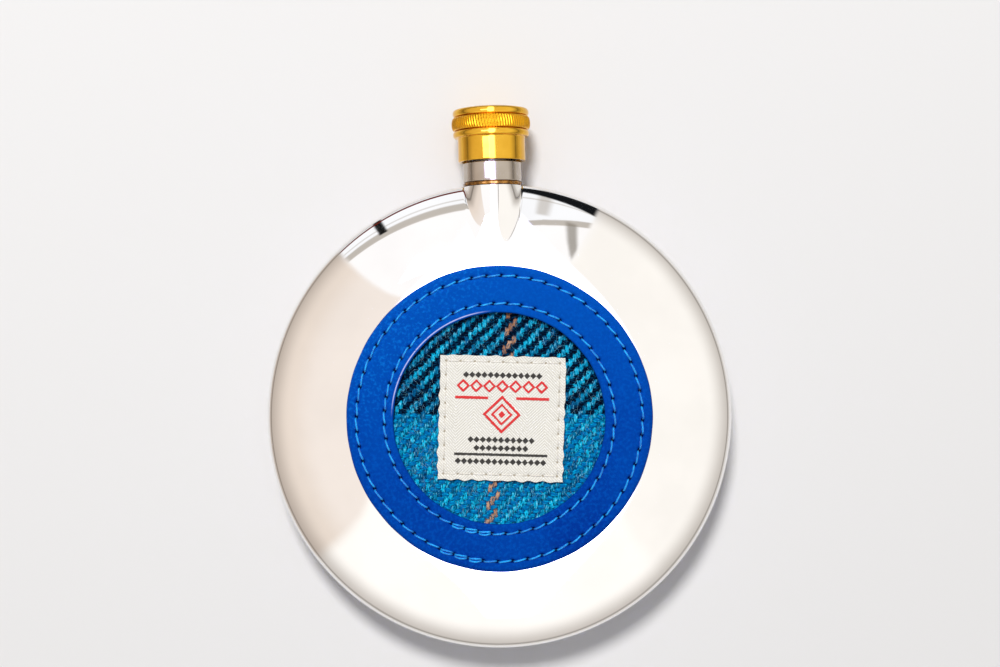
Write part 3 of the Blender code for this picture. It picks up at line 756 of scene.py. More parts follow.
stitch_thread = thread_finish("bright blue thread", (0.0, 0.20, 0.64), (0.003, 0.38, 0.90), 0.42)
luck = random.Random(7)
for row, seam, count, start in SEAM_ROWS:
    stitches = []
    doubled = round(DOUBLED_TURN / math.tau * count - start)
    for index in range(count):
        bow = luck.uniform(-0.08, 0.10)
        twist = PLY_TWIST + luck.uniform(-0.6, 0.6)
        is_doubled = index - doubled in (-1, 0, 1)
        for shift, sag in ((0.12, 0.34), (-0.18, -0.06)) if is_doubled else ((0.0, bow),):
            path = ring_stitch_path(seam, count, start, index, shift, sag)
            stitches.append(stitch_mesh("stitch", path, THREAD_RADIUS, twist))
    piece = seam_piece(f"{row}_stitches", stitches)
    finish_piece(piece, stitch_thread, "flask", "blue_thread", f"{row}_seam_thread")


def dress_node(node, finish):
    """A CAD node that stays in sight gets a finish of its own in place of its plain one."""
    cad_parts[node].data.materials.clear()
    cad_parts[node].data.materials.append(finish)


bobbin_finish = thread_finish("dark bobbin thread", (0.010, 0.050, 0.22), (0.020, 0.090, 0.34), 0.6)
dress_node("outer_bobbin_thread", bobbin_finish)
dress_node("inner_bobbin_thread", bobbin_finish)

# ------------------------------------------------------------------ tweed disc
# A disc of handwoven wool in two-and-two twill, 0.7 mm thick, caught under the leather all round. The
# warp is turquoise with one orange stripe; the weft is near-black above and teal below. Its yarns
# are raised in the mesh, and the colour follows the same yarns through the UV map.
TWEED_RADIUS = 34.4
TWEED_BACK = 22.76
TWEED_FACE = 23.46
FINE_RADIUS = 25.4
YARN = 0.90
WEFT_YARN = 1.00
WARP_LEAN = math.radians(7.65)
WEFT_DROP = math.radians(1.7)
CRIMP = 1.0
YARN_ROUND = 0.8
YARN_RELIEF = 0.17


def yarn_counts(x, y):
    """(across, along) in yarns, counted on the cloth's own skewed threads, with a hand-weaver's drift."""
    ax, ay = math.cos(WEFT_DROP), -math.sin(WEFT_DROP)
    wx, wy = math.sin(WARP_LEAN), math.cos(WARP_LEAN)
    det = ax * wy - ay * wx
    across = (x * wy - y * wx) / det
    along = (ax * y - ay * x) / det
    across = across + 0.10 * np.sin(along * 0.9 + 0.35 * across) + 0.06 * np.sin(along * 2.3 + 1.0)
    along = along + 0.12 * np.sin(across * 0.7 + 0.2 * along) + 0.07 * np.sin(across * 2.1 + 2.0)
    return across / YARN, along / WEFT_YARN


def twill_height(across, along):
    """Height of the uppermost yarn. Each warp floats over two wefts, one weft higher than the last."""
    warp_no, weft_no = np.floor(across), np.floor(along)
    warp_side, weft_side = across - warp_no - 0.5, along - weft_no - 0.5
    warp = CRIMP * np.cos((along - warp_no - 1.0) * math.pi / 2)
    warp += YARN_ROUND * np.sqrt(1 - 3.7 * warp_side**2)
    weft = -CRIMP * np.cos((weft_no - across) * math.pi / 2)
    weft += YARN_ROUND * np.sqrt(1 - 3.7 * weft_side**2)
    return np.maximum(warp, weft)


def twill_group():
    """The same twill for colour: Warp is 1 where a warp yarn lies uppermost, Height is its relief."""
    tree = bpy.data.node_groups.new("two and two twill", "ShaderNodeTree")
    for name in ("Across", "Along"):
        tree.interface.new_socket(name, in_out="INPUT", socket_type="NodeSocketFloat")
    for name in ("Warp", "Height", "Float"):
        tree.interface.new_socket(name, in_out="OUTPUT", socket_type="NodeSocketFloat")
    n = Nodes(tree)
    given = n.add("NodeGroupInput").outputs
    made = n.add("NodeGroupOutput").inputs
    across, along = given["Across"], given["Along"]
    warp_no, weft_no = n.math("FLOOR", across), n.math("FLOOR", along)

    def yarn(position, number, phase, crimp):
        side = n.minus(n.minus(position, number), 0.5)
        bulge = n.mul(n.mul(side, side), -3.7)
        bulge = n.mul(n.math("SQRT", n.plus(bulge, 1.0)), YARN_ROUND)
        wave = n.math("COSINE", n.mul(phase, math.pi / 2))
        return n.plus(n.mul(wave, crimp), bulge)

    warp_phase = n.minus(n.minus(along, warp_no), 1.0)
    warp = yarn(across, warp_no, warp_phase, CRIMP)
    weft = yarn(along, weft_no, n.minus(weft_no, across), -CRIMP)
    n.put(made["Warp"], n.ramp(n.minus(warp, weft), -0.12, 0.12))
    n.put(made["Height"], n.math("MAXIMUM", warp, weft))
    float_no = n.math("FLOOR", n.math("DIVIDE", n.minus(along, warp_no), 4.0))
    number = n.add("ShaderNodeTexWhiteNoise", noise_dimensions="2D")
    n.put(number.inputs["Vector"], n.vector(warp_no, float_no, 0.0))
    n.put(made["Float"], number.outputs["Value"])
    return tree


TWILL = twill_group()


def twill(n, across, along):
    group = n.add("ShaderNodeGroup")
    group.node_tree = TWILL
    n.put(group.inputs["Across"], across)
    n.put(group.inputs["Along"], along)
    return group.outputs["Warp"], group.outputs["Height"], group.outputs["Float"]


def woven_disc():
    nothing_selected()
    bpy.ops.mesh.primitive_grid_add(
        x_subdivisions=254, y_subdivisions=254, size=2 * FINE_RADIUS * MM, location=(0, 0, TWEED_FACE * MM)
    )
    obj = named("tweed_cloth")
    bpy.ops.object.transform_apply(location=True, rotation=True, scale=True)
    bpy.ops.object.mode_set(mode="EDIT")
    bpy.ops.mesh.select_all(action="DESELECT")
    cloth = bmesh.from_edit_mesh(obj.data)
    for face in cloth.faces:
        face.select = face.calc_center_median().xy.length > FINE_RADIUS * MM * 0.995
    bmesh.update_edit_mesh(obj.data)
    bpy.ops.mesh.delete(type="FACE")
    for _ in range(2):
        # First the hidden margin out to the cut edge, then the edge's thickness.
        bpy.ops.mesh.select_all(action="DESELECT")
        bpy.ops.mesh.select_mode(type="EDGE")
        bpy.ops.mesh.select_non_manifold(extend=False)
        bpy.ops.mesh.extrude_region_move(TRANSFORM_OT_translate={"value": (0.0, 0.0, -0.0001)})
    bpy.ops.mesh.edge_face_add()
    bpy.ops.mesh.select_mode(type="VERT")
    bpy.ops.object.mode_set(mode="OBJECT")
    spots = corners(obj) / MM
    margin = spots[:, 2] < TWEED_FACE - 0.05
    back = spots[:, 2] < TWEED_FACE - 0.15
    reach = np.hypot(spots[:, 0], spots[:, 1])[:, None]
    spots[margin, :2] *= TWEED_RADIUS / reach[margin]
    across, along = yarn_counts(spots[:, 0], spots[:, 1])
    relief = YARN_RELIEF * (twill_height(across, along) - 1.0)
    hollow = 0.05 * np.sin(0.35 * spots[:, 0] + 1) * np.sin(0.31 * spots[:, 1])
    spots[:, 2] = np.where(margin, TWEED_FACE, TWEED_FACE + relief + hollow)
    spots[back, 2] = TWEED_BACK
    move_corners(obj, spots * MM)
    counts = obj.data.uv_layers[0] if obj.data.uv_layers else obj.data.uv_layers.new(name="yarns")
    counts.name = "yarns"
    loops = np.empty(len(obj.data.loops), np.int32)
    obj.data.loops.foreach_get("vertex_index", loops)
    flat = np.stack([across[loops], along[loops]], axis=1) / 100 + 0.5
    counts.data.foreach_set("uv", flat.astype(np.float32).ravel())
    smooth(obj, 60)
    return obj


def tweed_finish():
    material, shader, n = new_finish("blue tweed")
    counts = n.parts(n.add("ShaderNodeUVMap", uv_map="yarns").outputs["UV"])
    across = n.mul(n.minus(counts[0], 0.5), 100.0)
    along = n.mul(n.minus(counts[1], 0.5), 100.0)
    fray = n.noise(n.vector(across, along, 0.0), 2.6, 3.0)
    ragged = n.mul(n.minus(fray, 0.5), 1.1)
    warp, height, chance = twill(n, n.plus(across, ragged), n.minus(along, ragged))
    # Streaks run along the warp yarns, and others along the weft.
    streak = n.noise(n.vector(n.mul(across, 2.4), n.mul(along, 0.8), 0.0), 1.3, 4.0)
    cross_streak = n.noise(n.vector(n.mul(across, 0.8), n.mul(along, 2.4), 3.0), 1.3, 4.0)
    fleck = n.ramp(streak, 0.56, 0.68)
    turquoise = n.mix(chance, (0.0004, 0.100, 0.270), (0.004, 0.520, 0.840))
    turquoise = n.mix(n.mul(fleck, 0.75), turquoise, (0.26, 0.76, 0.95))
    turquoise = n.mix(n.ramp(streak, 0.38, 0.50, 0.85, 0.0), turquoise, (0.0004, 0.022, 0.085))
    orange = n.mix(chance, (0.36, 0.150, 0.070), (0.62, 0.36, 0.23))
    orange = n.mix(n.ramp(streak, 0.40, 0.52, 0.9, 0.0), orange, (0.006, 0.070, 0.14))
    stripe = n.between(n.math("FLOOR", across), -1.5, 1.5, 0.1)
    warp_colour = n.mix(stripe, turquoise, orange)
    weft_fleck = n.ramp(cross_streak, 0.48, 0.66)
    navy = n.mix(weft_fleck, (0.0004, 0.002, 0.011), (0.0006, 0.050, 0.130))
    teal = n.mix(weft_fleck, (0.0002, 0.140, 0.410), (0.001, 0.390, 0.700))
    weft_no = n.math("FLOOR", along)
    weft_colour = n.mix(n.ramp(weft_no, 0.2, 0.8), teal, navy)
    cloth = n.mix(warp, weft_colour, warp_colour)
    # The foot of each yarn lies in its neighbours' shade.
    cloth = n.mix(n.ramp(height, 0.60, 1.35, 0.80, 0.0), cloth, (0.0003, 0.008, 0.034))
    n.put(shader.inputs["Base Color"], cloth)
    shader.inputs["Roughness"].default_value = 0.95
    shader.inputs["Specular IOR Level"].default_value = 0.02
    shader.inputs["Sheen Weight"].default_value = 0.03
    shader.inputs["Sheen Roughness"].default_value = 0.6
    shader.inputs["Sheen Tint"].default_value = (0.55, 0.85, 1.0, 1.0)
    fibres = n.plus(streak, cross_streak)
    bump(n, shader, n.plus(fibres, n.mul(height, 0.5)), 0.00012)
    return material


cloth = woven_disc()
finish_piece(cloth, tweed_finish(), "flask", "blue_tweed", "tweed_disc")

# ------------------------------------------------------------------ loose wool
# Fine hairs stand out of the wool all over the window, pale blue and white, none longer than 2.5 mm.
# One hair is a three-sided sliver; each copy has its own place, bend and length.
HAIRS = 480
HAIR_WIDTH = 0.028
LABEL_CLEAR = 14.9


def loose_wool():
    nothing_selected()
    bpy.ops.mesh.primitive_cylinder_add(
        vertices=3, radius=HAIR_WIDTH * MM, depth=MM, end_fill_type="NOTHING"
    )
    first = named("loose_wool")
    bpy.ops.object.mode_set(mode="EDIT")
    for cut in (0.00018, -0.00018):
        bpy.ops.mesh.select_all(action="SELECT")
        bpy.ops.mesh.bisect(plane_co=(0, 0, cut), plane_no=(0, 0, 1))
    bpy.ops.object.mode_set(mode="OBJECT")
    shape = corners(first) / MM
    luck = np.random.default_rng(11)
    hairs = [first]
    while len(hairs) < HAIRS:
        x, y = luck.uniform(-24, 24, 2)
        if math.hypot(x, y) > 23.9 or (abs(x) < LABEL_CLEAR and abs(y) < LABEL_CLEAR):
            continue
        length, turn = luck.uniform(0.8, 2.5), luck.normal(math.pi / 2 - WARP_LEAN, 0.6)
        bend, lift = luck.uniform(-0.5, 0.5), luck.uniform(0.02, 0.16)
        share = shape[:, 2] + 0.5
        taper = 1 - 0.6 * np.abs(2 * share - 1)
        along = (share - 0.5) * length
        side = bend * (2 * share - 1) ** 2 + shape[:, 0] * taper
        hair = first.copy()
        hair.data = first.data.copy()
        bpy.context.scene.collection.objects.link(hair)
        spots = np.stack(
            [
                x + along * math.cos(turn) - side * math.sin(turn),
                y + along * math.sin(turn) + side * math.cos(turn),
                TWEED_FACE + 0.12 + lift * (1 - (2 * share - 1) ** 2) + shape[:, 1] * taper,
            ],
            axis=1,
        )
        move_corners(hair, spots * MM)
        hairs.append(hair)
    bpy.data.objects.remove(hairs.pop(0))
    return seam_piece("loose_wool", hairs)


hair_finish = dull_finish("loose wool", (0.01, 0.28, 0.46), (0.38, 0.68, 0.84), 0.9, (700.0, 2000.0), 0.0)
finish_piece(loose_wool(), hair_finish, "flask", "blue_tweed")

# ------------------------------------------------------------------ woven label
# A small off-white label in fine herringbone, 28.8 by 28.6 mm, with a plain geometric design woven in
# red and black. It is sewn flat to the tweed, and its edges pucker and swell between the stitches.
LABEL_WIDTH = 28.8
LABEL_HEIGHT = 28.6
LABEL_SHIFT = 0.5
LABEL_TWIST = math.radians(-3.2)
LABEL_FACE = 24.24
LABEL_CLOTH = 0.26
LABEL_SEAM = 1.35
LABEL_STITCHES = 8
LABEL_THREAD_RADIUS = 0.16
DIAMOND_PITCH = 1.4
DIAMOND_HALF = 0.74
BLACK_ROWS = ((9.9, 9.1), (-4.95, 7.7), (-6.85, 6.3), (-9.95, 10.5))


def label_place(spots):
    """From the label's own square to its place on the cloth: turned a little and set to the right."""
    turned = spots.copy()
    cos, sin = math.cos(LABEL_TWIST), math.sin(LABEL_TWIST)
    turned[:, 0] = spots[:, 0] * cos - spots[:, 1] * sin + LABEL_SHIFT
    turned[:, 1] = spots[:, 0] * sin + spots[:, 1] * cos
    return turned


def label_swell(x, y):
    """How far the label stands up, and how far its edge runs out, both in step with the stitches."""
    half_w, half_h = LABEL_WIDTH / 2, LABEL_HEIGHT / 2
    to_side, to_top = half_w - np.abs(x), half_h - np.abs(y)
    upright = to_side < to_top
    inside = np.minimum(to_side, to_top)
    along = np.where(upright, y, x)
    span = np.where(upright, 2 * (half_h - LABEL_SEAM), 2 * (half_w - LABEL_SEAM))
    beat = np.cos(math.tau * (along / span + 0.5) * LABEL_STITCHES)
    beat = np.where(np.abs(along) > span / 2 + 0.2, 0.6, beat)
    seam_line = np.exp(-(((inside - LABEL_SEAM) / 0.45) ** 2))
    edge = np.exp(-inside / 0.9)
    pillow = np.exp(-(((inside - 2.6) / 1.3) ** 2))
    lift = -0.10 * seam_line * (1.2 + 0.8 * beat) + 0.10 * edge * (0.3 - beat) + 0.05 * pillow
    lift += 0.05 * np.sin(0.42 * x + 0.3) * np.sin(0.38 * y + 1.1)
    uneven = 0.7 + 0.5 * np.sin(0.33 * along + 0.6 * np.sign(x) + 1.3 * np.sign(y))
    return lift, -0.16 * beat * uneven - 0.04 * np.sin(0.9 * along), upright


def label_cloth():
    nothing_selected()
    bpy.ops.mesh.primitive_grid_add(x_subdivisions=132, y_subdivisions=132, size=1.0)
    obj = named("label_weave")
    spots = corners(obj) * [LABEL_WIDTH, LABEL_HEIGHT, 1.0]
    x, y = spots[:, 0].copy(), spots[:, 1].copy()
    lift, run, upright = label_swell(x, y)
    rim = np.exp(-np.minimum(LABEL_WIDTH / 2 - np.abs(x), LABEL_HEIGHT / 2 - np.abs(y)) / 0.35)
    spots[:, 0] += np.where(upright, np.sign(x) * run * rim, 0.0)
    spots[:, 1] += np.where(upright, 0.0, np.sign(y) * run * rim)
    # The two top corners and the two lower ones are cut a little differently.
    spots[:, 0] += 0.18 * (np.abs(y) / 14.3) ** 2 * np.sin(0.25 * y) * np.abs(x) / 14.4
    spots[:, 2] = LABEL_FACE + lift
    move_corners(obj, label_place(spots) * MM)
    thicken(obj, "cloth", LABEL_CLOTH * MM)
    smooth(obj, 60)
    return obj


def label_finish():
    material, shader, n = new_finish("label cloth")
    where = n.add("ShaderNodeTexCoord").outputs["Object"]
    square = n.add("ShaderNodeMapping", vector_type="TEXTURE")
    n.put(square.inputs["Vector"], where)
    square.inputs["Location"].default_value = (LABEL_SHIFT * MM, 0.0, 0.0)
    square.inputs["Rotation"].default_value = (0.0, 0.0, LABEL_TWIST)
    square.inputs["Scale"].default_value = (MM, MM, MM)
    x, y, _ = n.parts(square.outputs[0])
    # Threads wander slightly, so that no woven edge is ruler straight.
    drift = n.mul(n.minus(n.noise(square.outputs[0], 1.6), 0.5), 0.28)
    up = n.plus(y, drift)
    side = n.plus(x, drift)
    wide = n.math("ABSOLUTE", side)
    # Herringbone: diagonals that turn every 4.1 mm.
    fold = n.math("PINGPONG", n.plus(side, 31.0), 4.1)
    slant = n.math("FRACT", n.mul(n.plus(up, fold), 1.45))
    rib = n.between(slant, 0.18, 0.62, 0.16)
    pick = n.math("FRACT", n.mul(side, 4.2))
    picks = n.between(pick, 0.15, 0.75, 0.12)
    cloud, grain = clouds(n, 260.0, 2600.0)
    ground = n.mix(rib, (0.76, 0.725, 0.655), (1.0, 0.985, 0.93))
    ground = n.mix(n.mul(n.ramp(grain, 0.42, 0.30), 0.5), ground, (0.60, 0.55, 0.47))
    ground = n.mix(n.mul(cloud, 0.25), ground, (0.88, 0.86, 0.82))

    def diamonds(level, half_width):
        """A row of small filled diamonds, edge to edge."""
        beat = n.math("PINGPONG", n.plus(side, 30 * DIAMOND_PITCH), DIAMOND_PITCH / 2)
        steep = n.math("ABSOLUTE", n.minus(up, level))
        row = n.ramp(n.plus(beat, steep), DIAMOND_HALF - 0.1, DIAMOND_HALF + 0.1, 1.0, 0.0)
        return n.mul(row, n.between(side, -half_width, half_width, 0.05))

    def rule(level, half_height, inner, outer):
        row = n.between(up, level - half_height, level + half_height, 0.08)
        return n.mul(row, n.between(wide, inner, outer, 0.12))

    def lozenges(across, centre, half_height, line):
        """Outlined lozenges: their distance from the middle is counted along both diagonals."""
        steep = n.math("ABSOLUTE", n.minus(up, centre))
        return n.between(n.plus(across, steep), half_height - line, half_height + line, 0.09)

    # Red: a band of small lozenges, two rules, and a large lozenge with smaller ones inside.
    band_side = n.math("PINGPONG", n.plus(side, 30.0), 1.5)
    band = lozenges(band_side, 7.35, 1.20, 0.36)
    band = n.mul(band, n.between(side, -10.5, 10.5, 0.05))
    band = n.mul(band, n.between(up, 5.9, 8.8, 0.05))
    red = n.math("MAXIMUM", band, rule(4.65, 0.33, 3.2, 10.8))
    for half_height, line in ((4.0, 0.42), (2.2, 0.34), (0.0, 0.85)):
        red = n.math("MAXIMUM", red, lozenges(wide, 0.9, half_height, line))
    # Black: four rows of small diamonds and a long rule.
    black = rule(-8.35, 0.30, -1.0, 10.7)
    for level, half_width in BLACK_ROWS:
        black = n.math("MAXIMUM", black, diamonds(level, half_width))
    thread_gap = n.minus(1.0, n.mul(n.minus(1.0, picks), 0.14))
    cloth_colour = n.mix(n.mul(red, thread_gap), ground, (0.78, 0.002, 0.008))
    cloth_colour = n.mix(n.mul(black, thread_gap), cloth_colour, (0.008, 0.006, 0.005))
    # Painted shade: tan dots in the needle holes inside the edge, in step with the stitches.
    near_side = n.minus(LABEL_WIDTH / 2 - LABEL_SEAM, n.math("ABSOLUTE", x))
    near_top = n.minus(LABEL_HEIGHT / 2 - LABEL_SEAM, n.math("ABSOLUTE", y))
    pitch_x = (LABEL_WIDTH - 2 * LABEL_SEAM) / LABEL_STITCHES
    pitch_y = (LABEL_HEIGHT - 2 * LABEL_SEAM) / LABEL_STITCHES

    def hole_shade(line, along, pitch):
        beat = n.math("PINGPONG", n.plus(along, 20 * pitch), pitch / 2)
        beat = n.math("DIVIDE", beat, 0.34)
        off = n.math("DIVIDE", line, 0.26)
        return n.ramp(n.plus(n.mul(beat, beat), n.mul(off, off)), 0.4, 1.3, 1.0, 0.0)

    needle = n.math("MAXIMUM", hole_shade(near_side, y, pitch_y), hole_shade(near_top, x, pitch_x))
    inside = n.mul(n.ramp(near_side, -0.5, -0.4), n.ramp(near_top, -0.5, -0.4))
    needle = n.mul(needle, inside)
    cloth_colour = n.mix(n.mul(needle, 0.75), cloth_colour, (0.34, 0.27, 0.18))
    n.put(shader.inputs["Base Color"], cloth_colour)
    shader.inputs["Roughness"].default_value = 0.85
    shader.inputs["Specular IOR Level"].default_value = 0.2
    shader.inputs["Sheen Weight"].default_value = 0.08
    relief = n.plus(rib, n.mul(n.math("MAXIMUM", red, black), 1.2))
    relief = n.plus(relief, n.mul(picks, 0.5))
    bump(n, shader, relief, 0.00006)
    return material


label = label_cloth()
finish_piece(label, label_finish(), "flask", "label_cloth", "woven_label")

# ------------------------------------------------------------------ label stitches
# A running line of off-white thread all round the label, so close to the cloth's own colour that only
# its dimples show. The same thread lies on the back of the tweed.
def label_stitch(start, end):
    """One stitch between two needle holes, both on the label's own square."""
    shares = np.linspace(0.0, 1.0, 9)
    rise = eased(np.minimum(shares, 1 - shares) / 0.25)
    x, y = (start[k] + (end[k] - start[k]) * shares for k in (0, 1))
    path = np.stack([x, y, LABEL_FACE - 0.52 + 0.50 * rise], axis=1)
    return stitch_mesh("label_stitch", label_place(path), LABEL_THREAD_RADIUS, 3.5, 8, LABEL_FACE)


seam_w, seam_h = LABEL_WIDTH / 2 - LABEL_SEAM, LABEL_HEIGHT / 2 - LABEL_SEAM
seam_corners = [(-seam_w, -seam_h), (seam_w, -seam_h), (seam_w, seam_h), (-seam_w, seam_h)]
label_stitches = []
for near, far in zip(seam_corners, seam_corners[1:] + seam_corners[:1]):
    for index in range(LABEL_STITCHES):
        ends = []
        for share in (index / LABEL_STITCHES, (index + 1) / LABEL_STITCHES):
            ends.append([near[k] + (far[k] - near[k]) * share for k in (0, 1)])
        label_stitches.append(label_stitch(*ends))
label_sewing = seam_piece("label_stitches", label_stitches)
label_thread = thread_finish("off-white thread", (0.70, 0.66, 0.59), (0.84, 0.81, 0.75), 0.7)
finish_piece(label_sewing, label_thread, "flask", "label_thread", "label_seam_thread")
dress_node("label_bobbin_thread", label_thread)

# ------------------------------------------------------------------ neck
# A threaded stainless tube stands in the bell, with a plain collar pushed over its foot. Brass was
# run in under the collar to braze it to the shells, and some of it shows as a thin uneven bead.
NECK_BORE = 4.3
NECK_WALL_RADIUS = 5.1
NECK_FOOT = 50.5
NECK_LIP = 69.0
THREAD_CREST = 5.9
THREAD_PITCH = 2.0
THREAD_FIRST = 61.6
THREAD_LAST = 67.4
COLLAR_RADIUS = 6.9
COLLAR_FOOT = 55.40
COLLAR_TOP = 60.0


def neck_turned(name, outline, steps):
    """Turned about the neck's axis from radii and stations up the neck, both in millimetres."""
    obj = spun(name, [(r * MM, y * MM) for r, y in outline], steps)
    obj.location = (0.0, 0.0, MID_PLANE)
    obj.rotation_euler = (-math.pi / 2, 0.0, 0.0)
    bpy.ops.object.transform_apply(location=True, rotation=True, scale=True)
    return obj


def round_the_neck(spots):
    """(radius, turn, station) of points, the turn counted as the thread climbs."""
    x, down = spots[:, 0], MID_PLANE / MM - spots[:, 2]
    return np.hypot(x, down), np.arctan2(down, x), spots[:, 1]


def set_radius(spots, radius, turn):
    moved = spots.copy()
    moved[:, 0] = radius * np.cos(turn)
    moved[:, 2] = MID_PLANE / MM - radius * np.sin(turn)
    return moved


def thread_form(station, turn, first, last, half_pitch_on=0.0):
    """0 at the root and 1 on the crest of a right-hand thread, which fades in and out over a turn."""
    phase = (station - first) / THREAD_PITCH - turn / math.tau + half_pitch_on
    off = np.abs((phase + 0.5) % 1.0 - 0.5)
    form = eased((0.30 - off) / 0.17)
    fade_in = np.clip((station - first + 0.4) / 1.2, 0.0, 1.0)
    return form * fade_in * np.clip((last + 0.4 - station) / 1.2, 0.0, 1.0)


def threaded_tube():
    outline = [(NECK_BORE, NECK_FOOT), (NECK_WALL_RADIUS, NECK_FOOT)]
    outline += [(NECK_WALL_RADIUS, y) for y in (54.0, 58.0, 60.2)]
    outline += [(NECK_WALL_RADIUS, y) for y in np.arange(60.6, 68.41, 0.12)]
    outline += arc_points((NECK_WALL_RADIUS - 0.4, NECK_LIP - 0.4), 0.4, 0.0, math.pi, 8)
    outline += [(NECK_BORE, y) for y in (66.0, 60.0, 55.0, NECK_FOOT)]
    obj = neck_turned("threaded_neck", outline, 120)
    spots = corners(obj) / MM
    radius, turn, station = round_the_neck(spots)
    outer = (radius > NECK_WALL_RADIUS - 0.05) & (station > 60.4) & (station < 68.5)
    form = thread_form(station, turn, THREAD_FIRST, THREAD_LAST)
    radius = np.where(outer, radius + (THREAD_CREST - NECK_WALL_RADIUS) * form, radius)
    move_corners(obj, set_radius(spots, radius, turn) * MM)
    smooth(obj)
    return obj


def collar_ring():
    soft = 0.22
    outline = arc_points((COLLAR_RADIUS - soft, COLLAR_FOOT + soft), soft, -QUARTER, 0.0, 4)
    outline += [(COLLAR_RADIUS, y) for y in (56.5, 57.7, 58.9)]
    outline += arc_points((COLLAR_RADIUS - soft, COLLAR_TOP - soft), soft, 0.0, QUARTER, 4)
    outline += [(5.45, COLLAR_TOP - 0.05), (5.25, COLLAR_TOP - 0.3), (5.25, COLLAR_FOOT), outline[0]]
    obj = neck_turned("collar_ring", outline, 160)
    smooth(obj, 40)
    return obj


def brazed_joint():
    """The bead fills from the seat to the collar. Its edge wanders in and out as the brass ran."""
    outline = arc_points((6.55, 54.92), 0.50, -math.pi / 2, math.pi / 2, 8)
    outline += [(5.3, 55.42), (5.3, 54.42), outline[0]]
    obj = neck_turned("brazed_joint", outline, 240)
    spots = corners(obj) / MM
    radius, turn, _ = round_the_neck(spots)
    run = 0.07 * np.sin(5 * turn + 1) + 0.05 * np.sin(11 * turn) + 0.04 * np.sin(23 * turn + 2) - 0.06
    outer = np.clip((radius - 6.2) / 0.6, 0.0, 1.0)
    move_corners(obj, set_radius(spots, radius + run * outer, turn) * MM)
    smooth(obj)
    return obj


def turned_steel(name, base, pale, low, high):
    """Steel left as turned: fine rings round the neck show in its sheen."""
    material, shader, n = new_finish(name)
    cloud, grain = clouds(n, 120.0, 1500.0)
    where = n.parts(n.add("ShaderNodeTexCoord").outputs["Object"])
    rings = n.noise(n.vector(0.0, n.mul(where[1], 9000.0), 0.0), 1.0, 3.0)
    shader.inputs["Metallic"].default_value = 1.0
    n.put(shader.inputs["Base Color"], n.mix(cloud, base, pale))
    n.put(shader.inputs["Roughness"], n.ramp(rings, 0.3, 0.7, low, high))
    bump(n, shader, n.plus(rings, n.mul(grain, 0.3)), 0.000004)
    return material


def braze_finish():
    material, shader, n = new_finish("brazing brass")
    cloud, grain = clouds(n, 420.0, 1600.0)
    shader.inputs["Metallic"].default_value = 1.0
    n.put(shader.inputs["Base Color"], n.mix(cloud, (0.030, 0.010, 0.004), (0.50, 0.24, 0.06)))
    n.put(shader.inputs["Roughness"], n.ramp(cloud, 0.0, 1.0, 0.42, 0.16))
    bump(n, shader, grain, 0.00003)
    return material


thread_steel = turned_steel("threaded steel", (0.55, 0.52, 0.48), (0.63, 0.60, 0.56), 0.16, 0.30)
finish_piece(threaded_tube(), thread_steel, "flask", "satin_steel", "neck_tube")
collar_steel = turned_steel("collar steel", (0.44, 0.385, 0.325), (0.50, 0.445, 0.385), 0.10, 0.17)
finish_piece(collar_ring(), collar_steel, "flask", "satin_steel", "neck_collar")
finish_piece(brazed_joint(), braze_finish(), "flask", "braze_brass", "braze_ring")

# ------------------------------------------------------------------ cap
# A spun and polished brass cap: a plain sleeve, then three rolls, the middle one knurled aslant for
# grip, under a low crown. It unscrews, and as it turns it climbs the neck.
CAP_FOOT = 60.3
CAP_END = 73.3
SLEEVE = 8.0
CAVITY = 7.1
CAVITY_END = 71.9
ROLL_RADIUS = 9.05
KNURL_RADIUS = 9.35
KNURL_TEETH = 88
KNURL_DEPTH = 0.17
KNURL_FOOT = 67.66
KNURL_TOP = 70.86
CAP_STEPS = 704


def roll(crest, bottom, top, root, steps):
    """A half-round roll: points from its bottom to its top, standing out of the root to the crest."""
    half = (top - bottom) / 2
    rise = crest - root
    turns = np.linspace(-math.pi / 2, math.pi / 2, steps + 1)
    return [(root + rise * math.cos(a) ** 0.85, (bottom + top) / 2 + half * math.sin(a)) for a in turns]


def cap_outline():
    outline = [(0.0, CAVITY_END), (CAVITY - 0.3, CAVITY_END), (CAVITY, CAVITY_END - 0.3), (CAVITY, 66.0)]
    outline += [(CAVITY, CAP_FOOT + 0.15), (CAVITY + 0.12, CAP_FOOT)]
    outline += arc_points((SLEEVE - 0.28, CAP_FOOT + 0.28), 0.28, -QUARTER, 0.0, 5)
    outline += [(SLEEVE, y) for y in (61.6, 62.8, 64.0, 65.2)]
    outline += arc_points((SLEEVE + 0.35, 65.62), 0.35, 2 * QUARTER, QUARTER, 3)
    outline += roll(ROLL_RADIUS, 65.97, 67.62, 8.45, 9)
    outline += roll(KNURL_RADIUS, KNURL_FOOT, KNURL_TOP, 8.62, 22)
    outline += roll(ROLL_RADIUS, 70.90, 72.62, 8.42, 9)
    outline += [(8.15, 72.62), (7.8, 72.74), (7.2, 72.90), (6.2, 73.05), (4.6, 73.19), (2.4, 73.27)]
    return outline + [(0.0, CAP_END)]


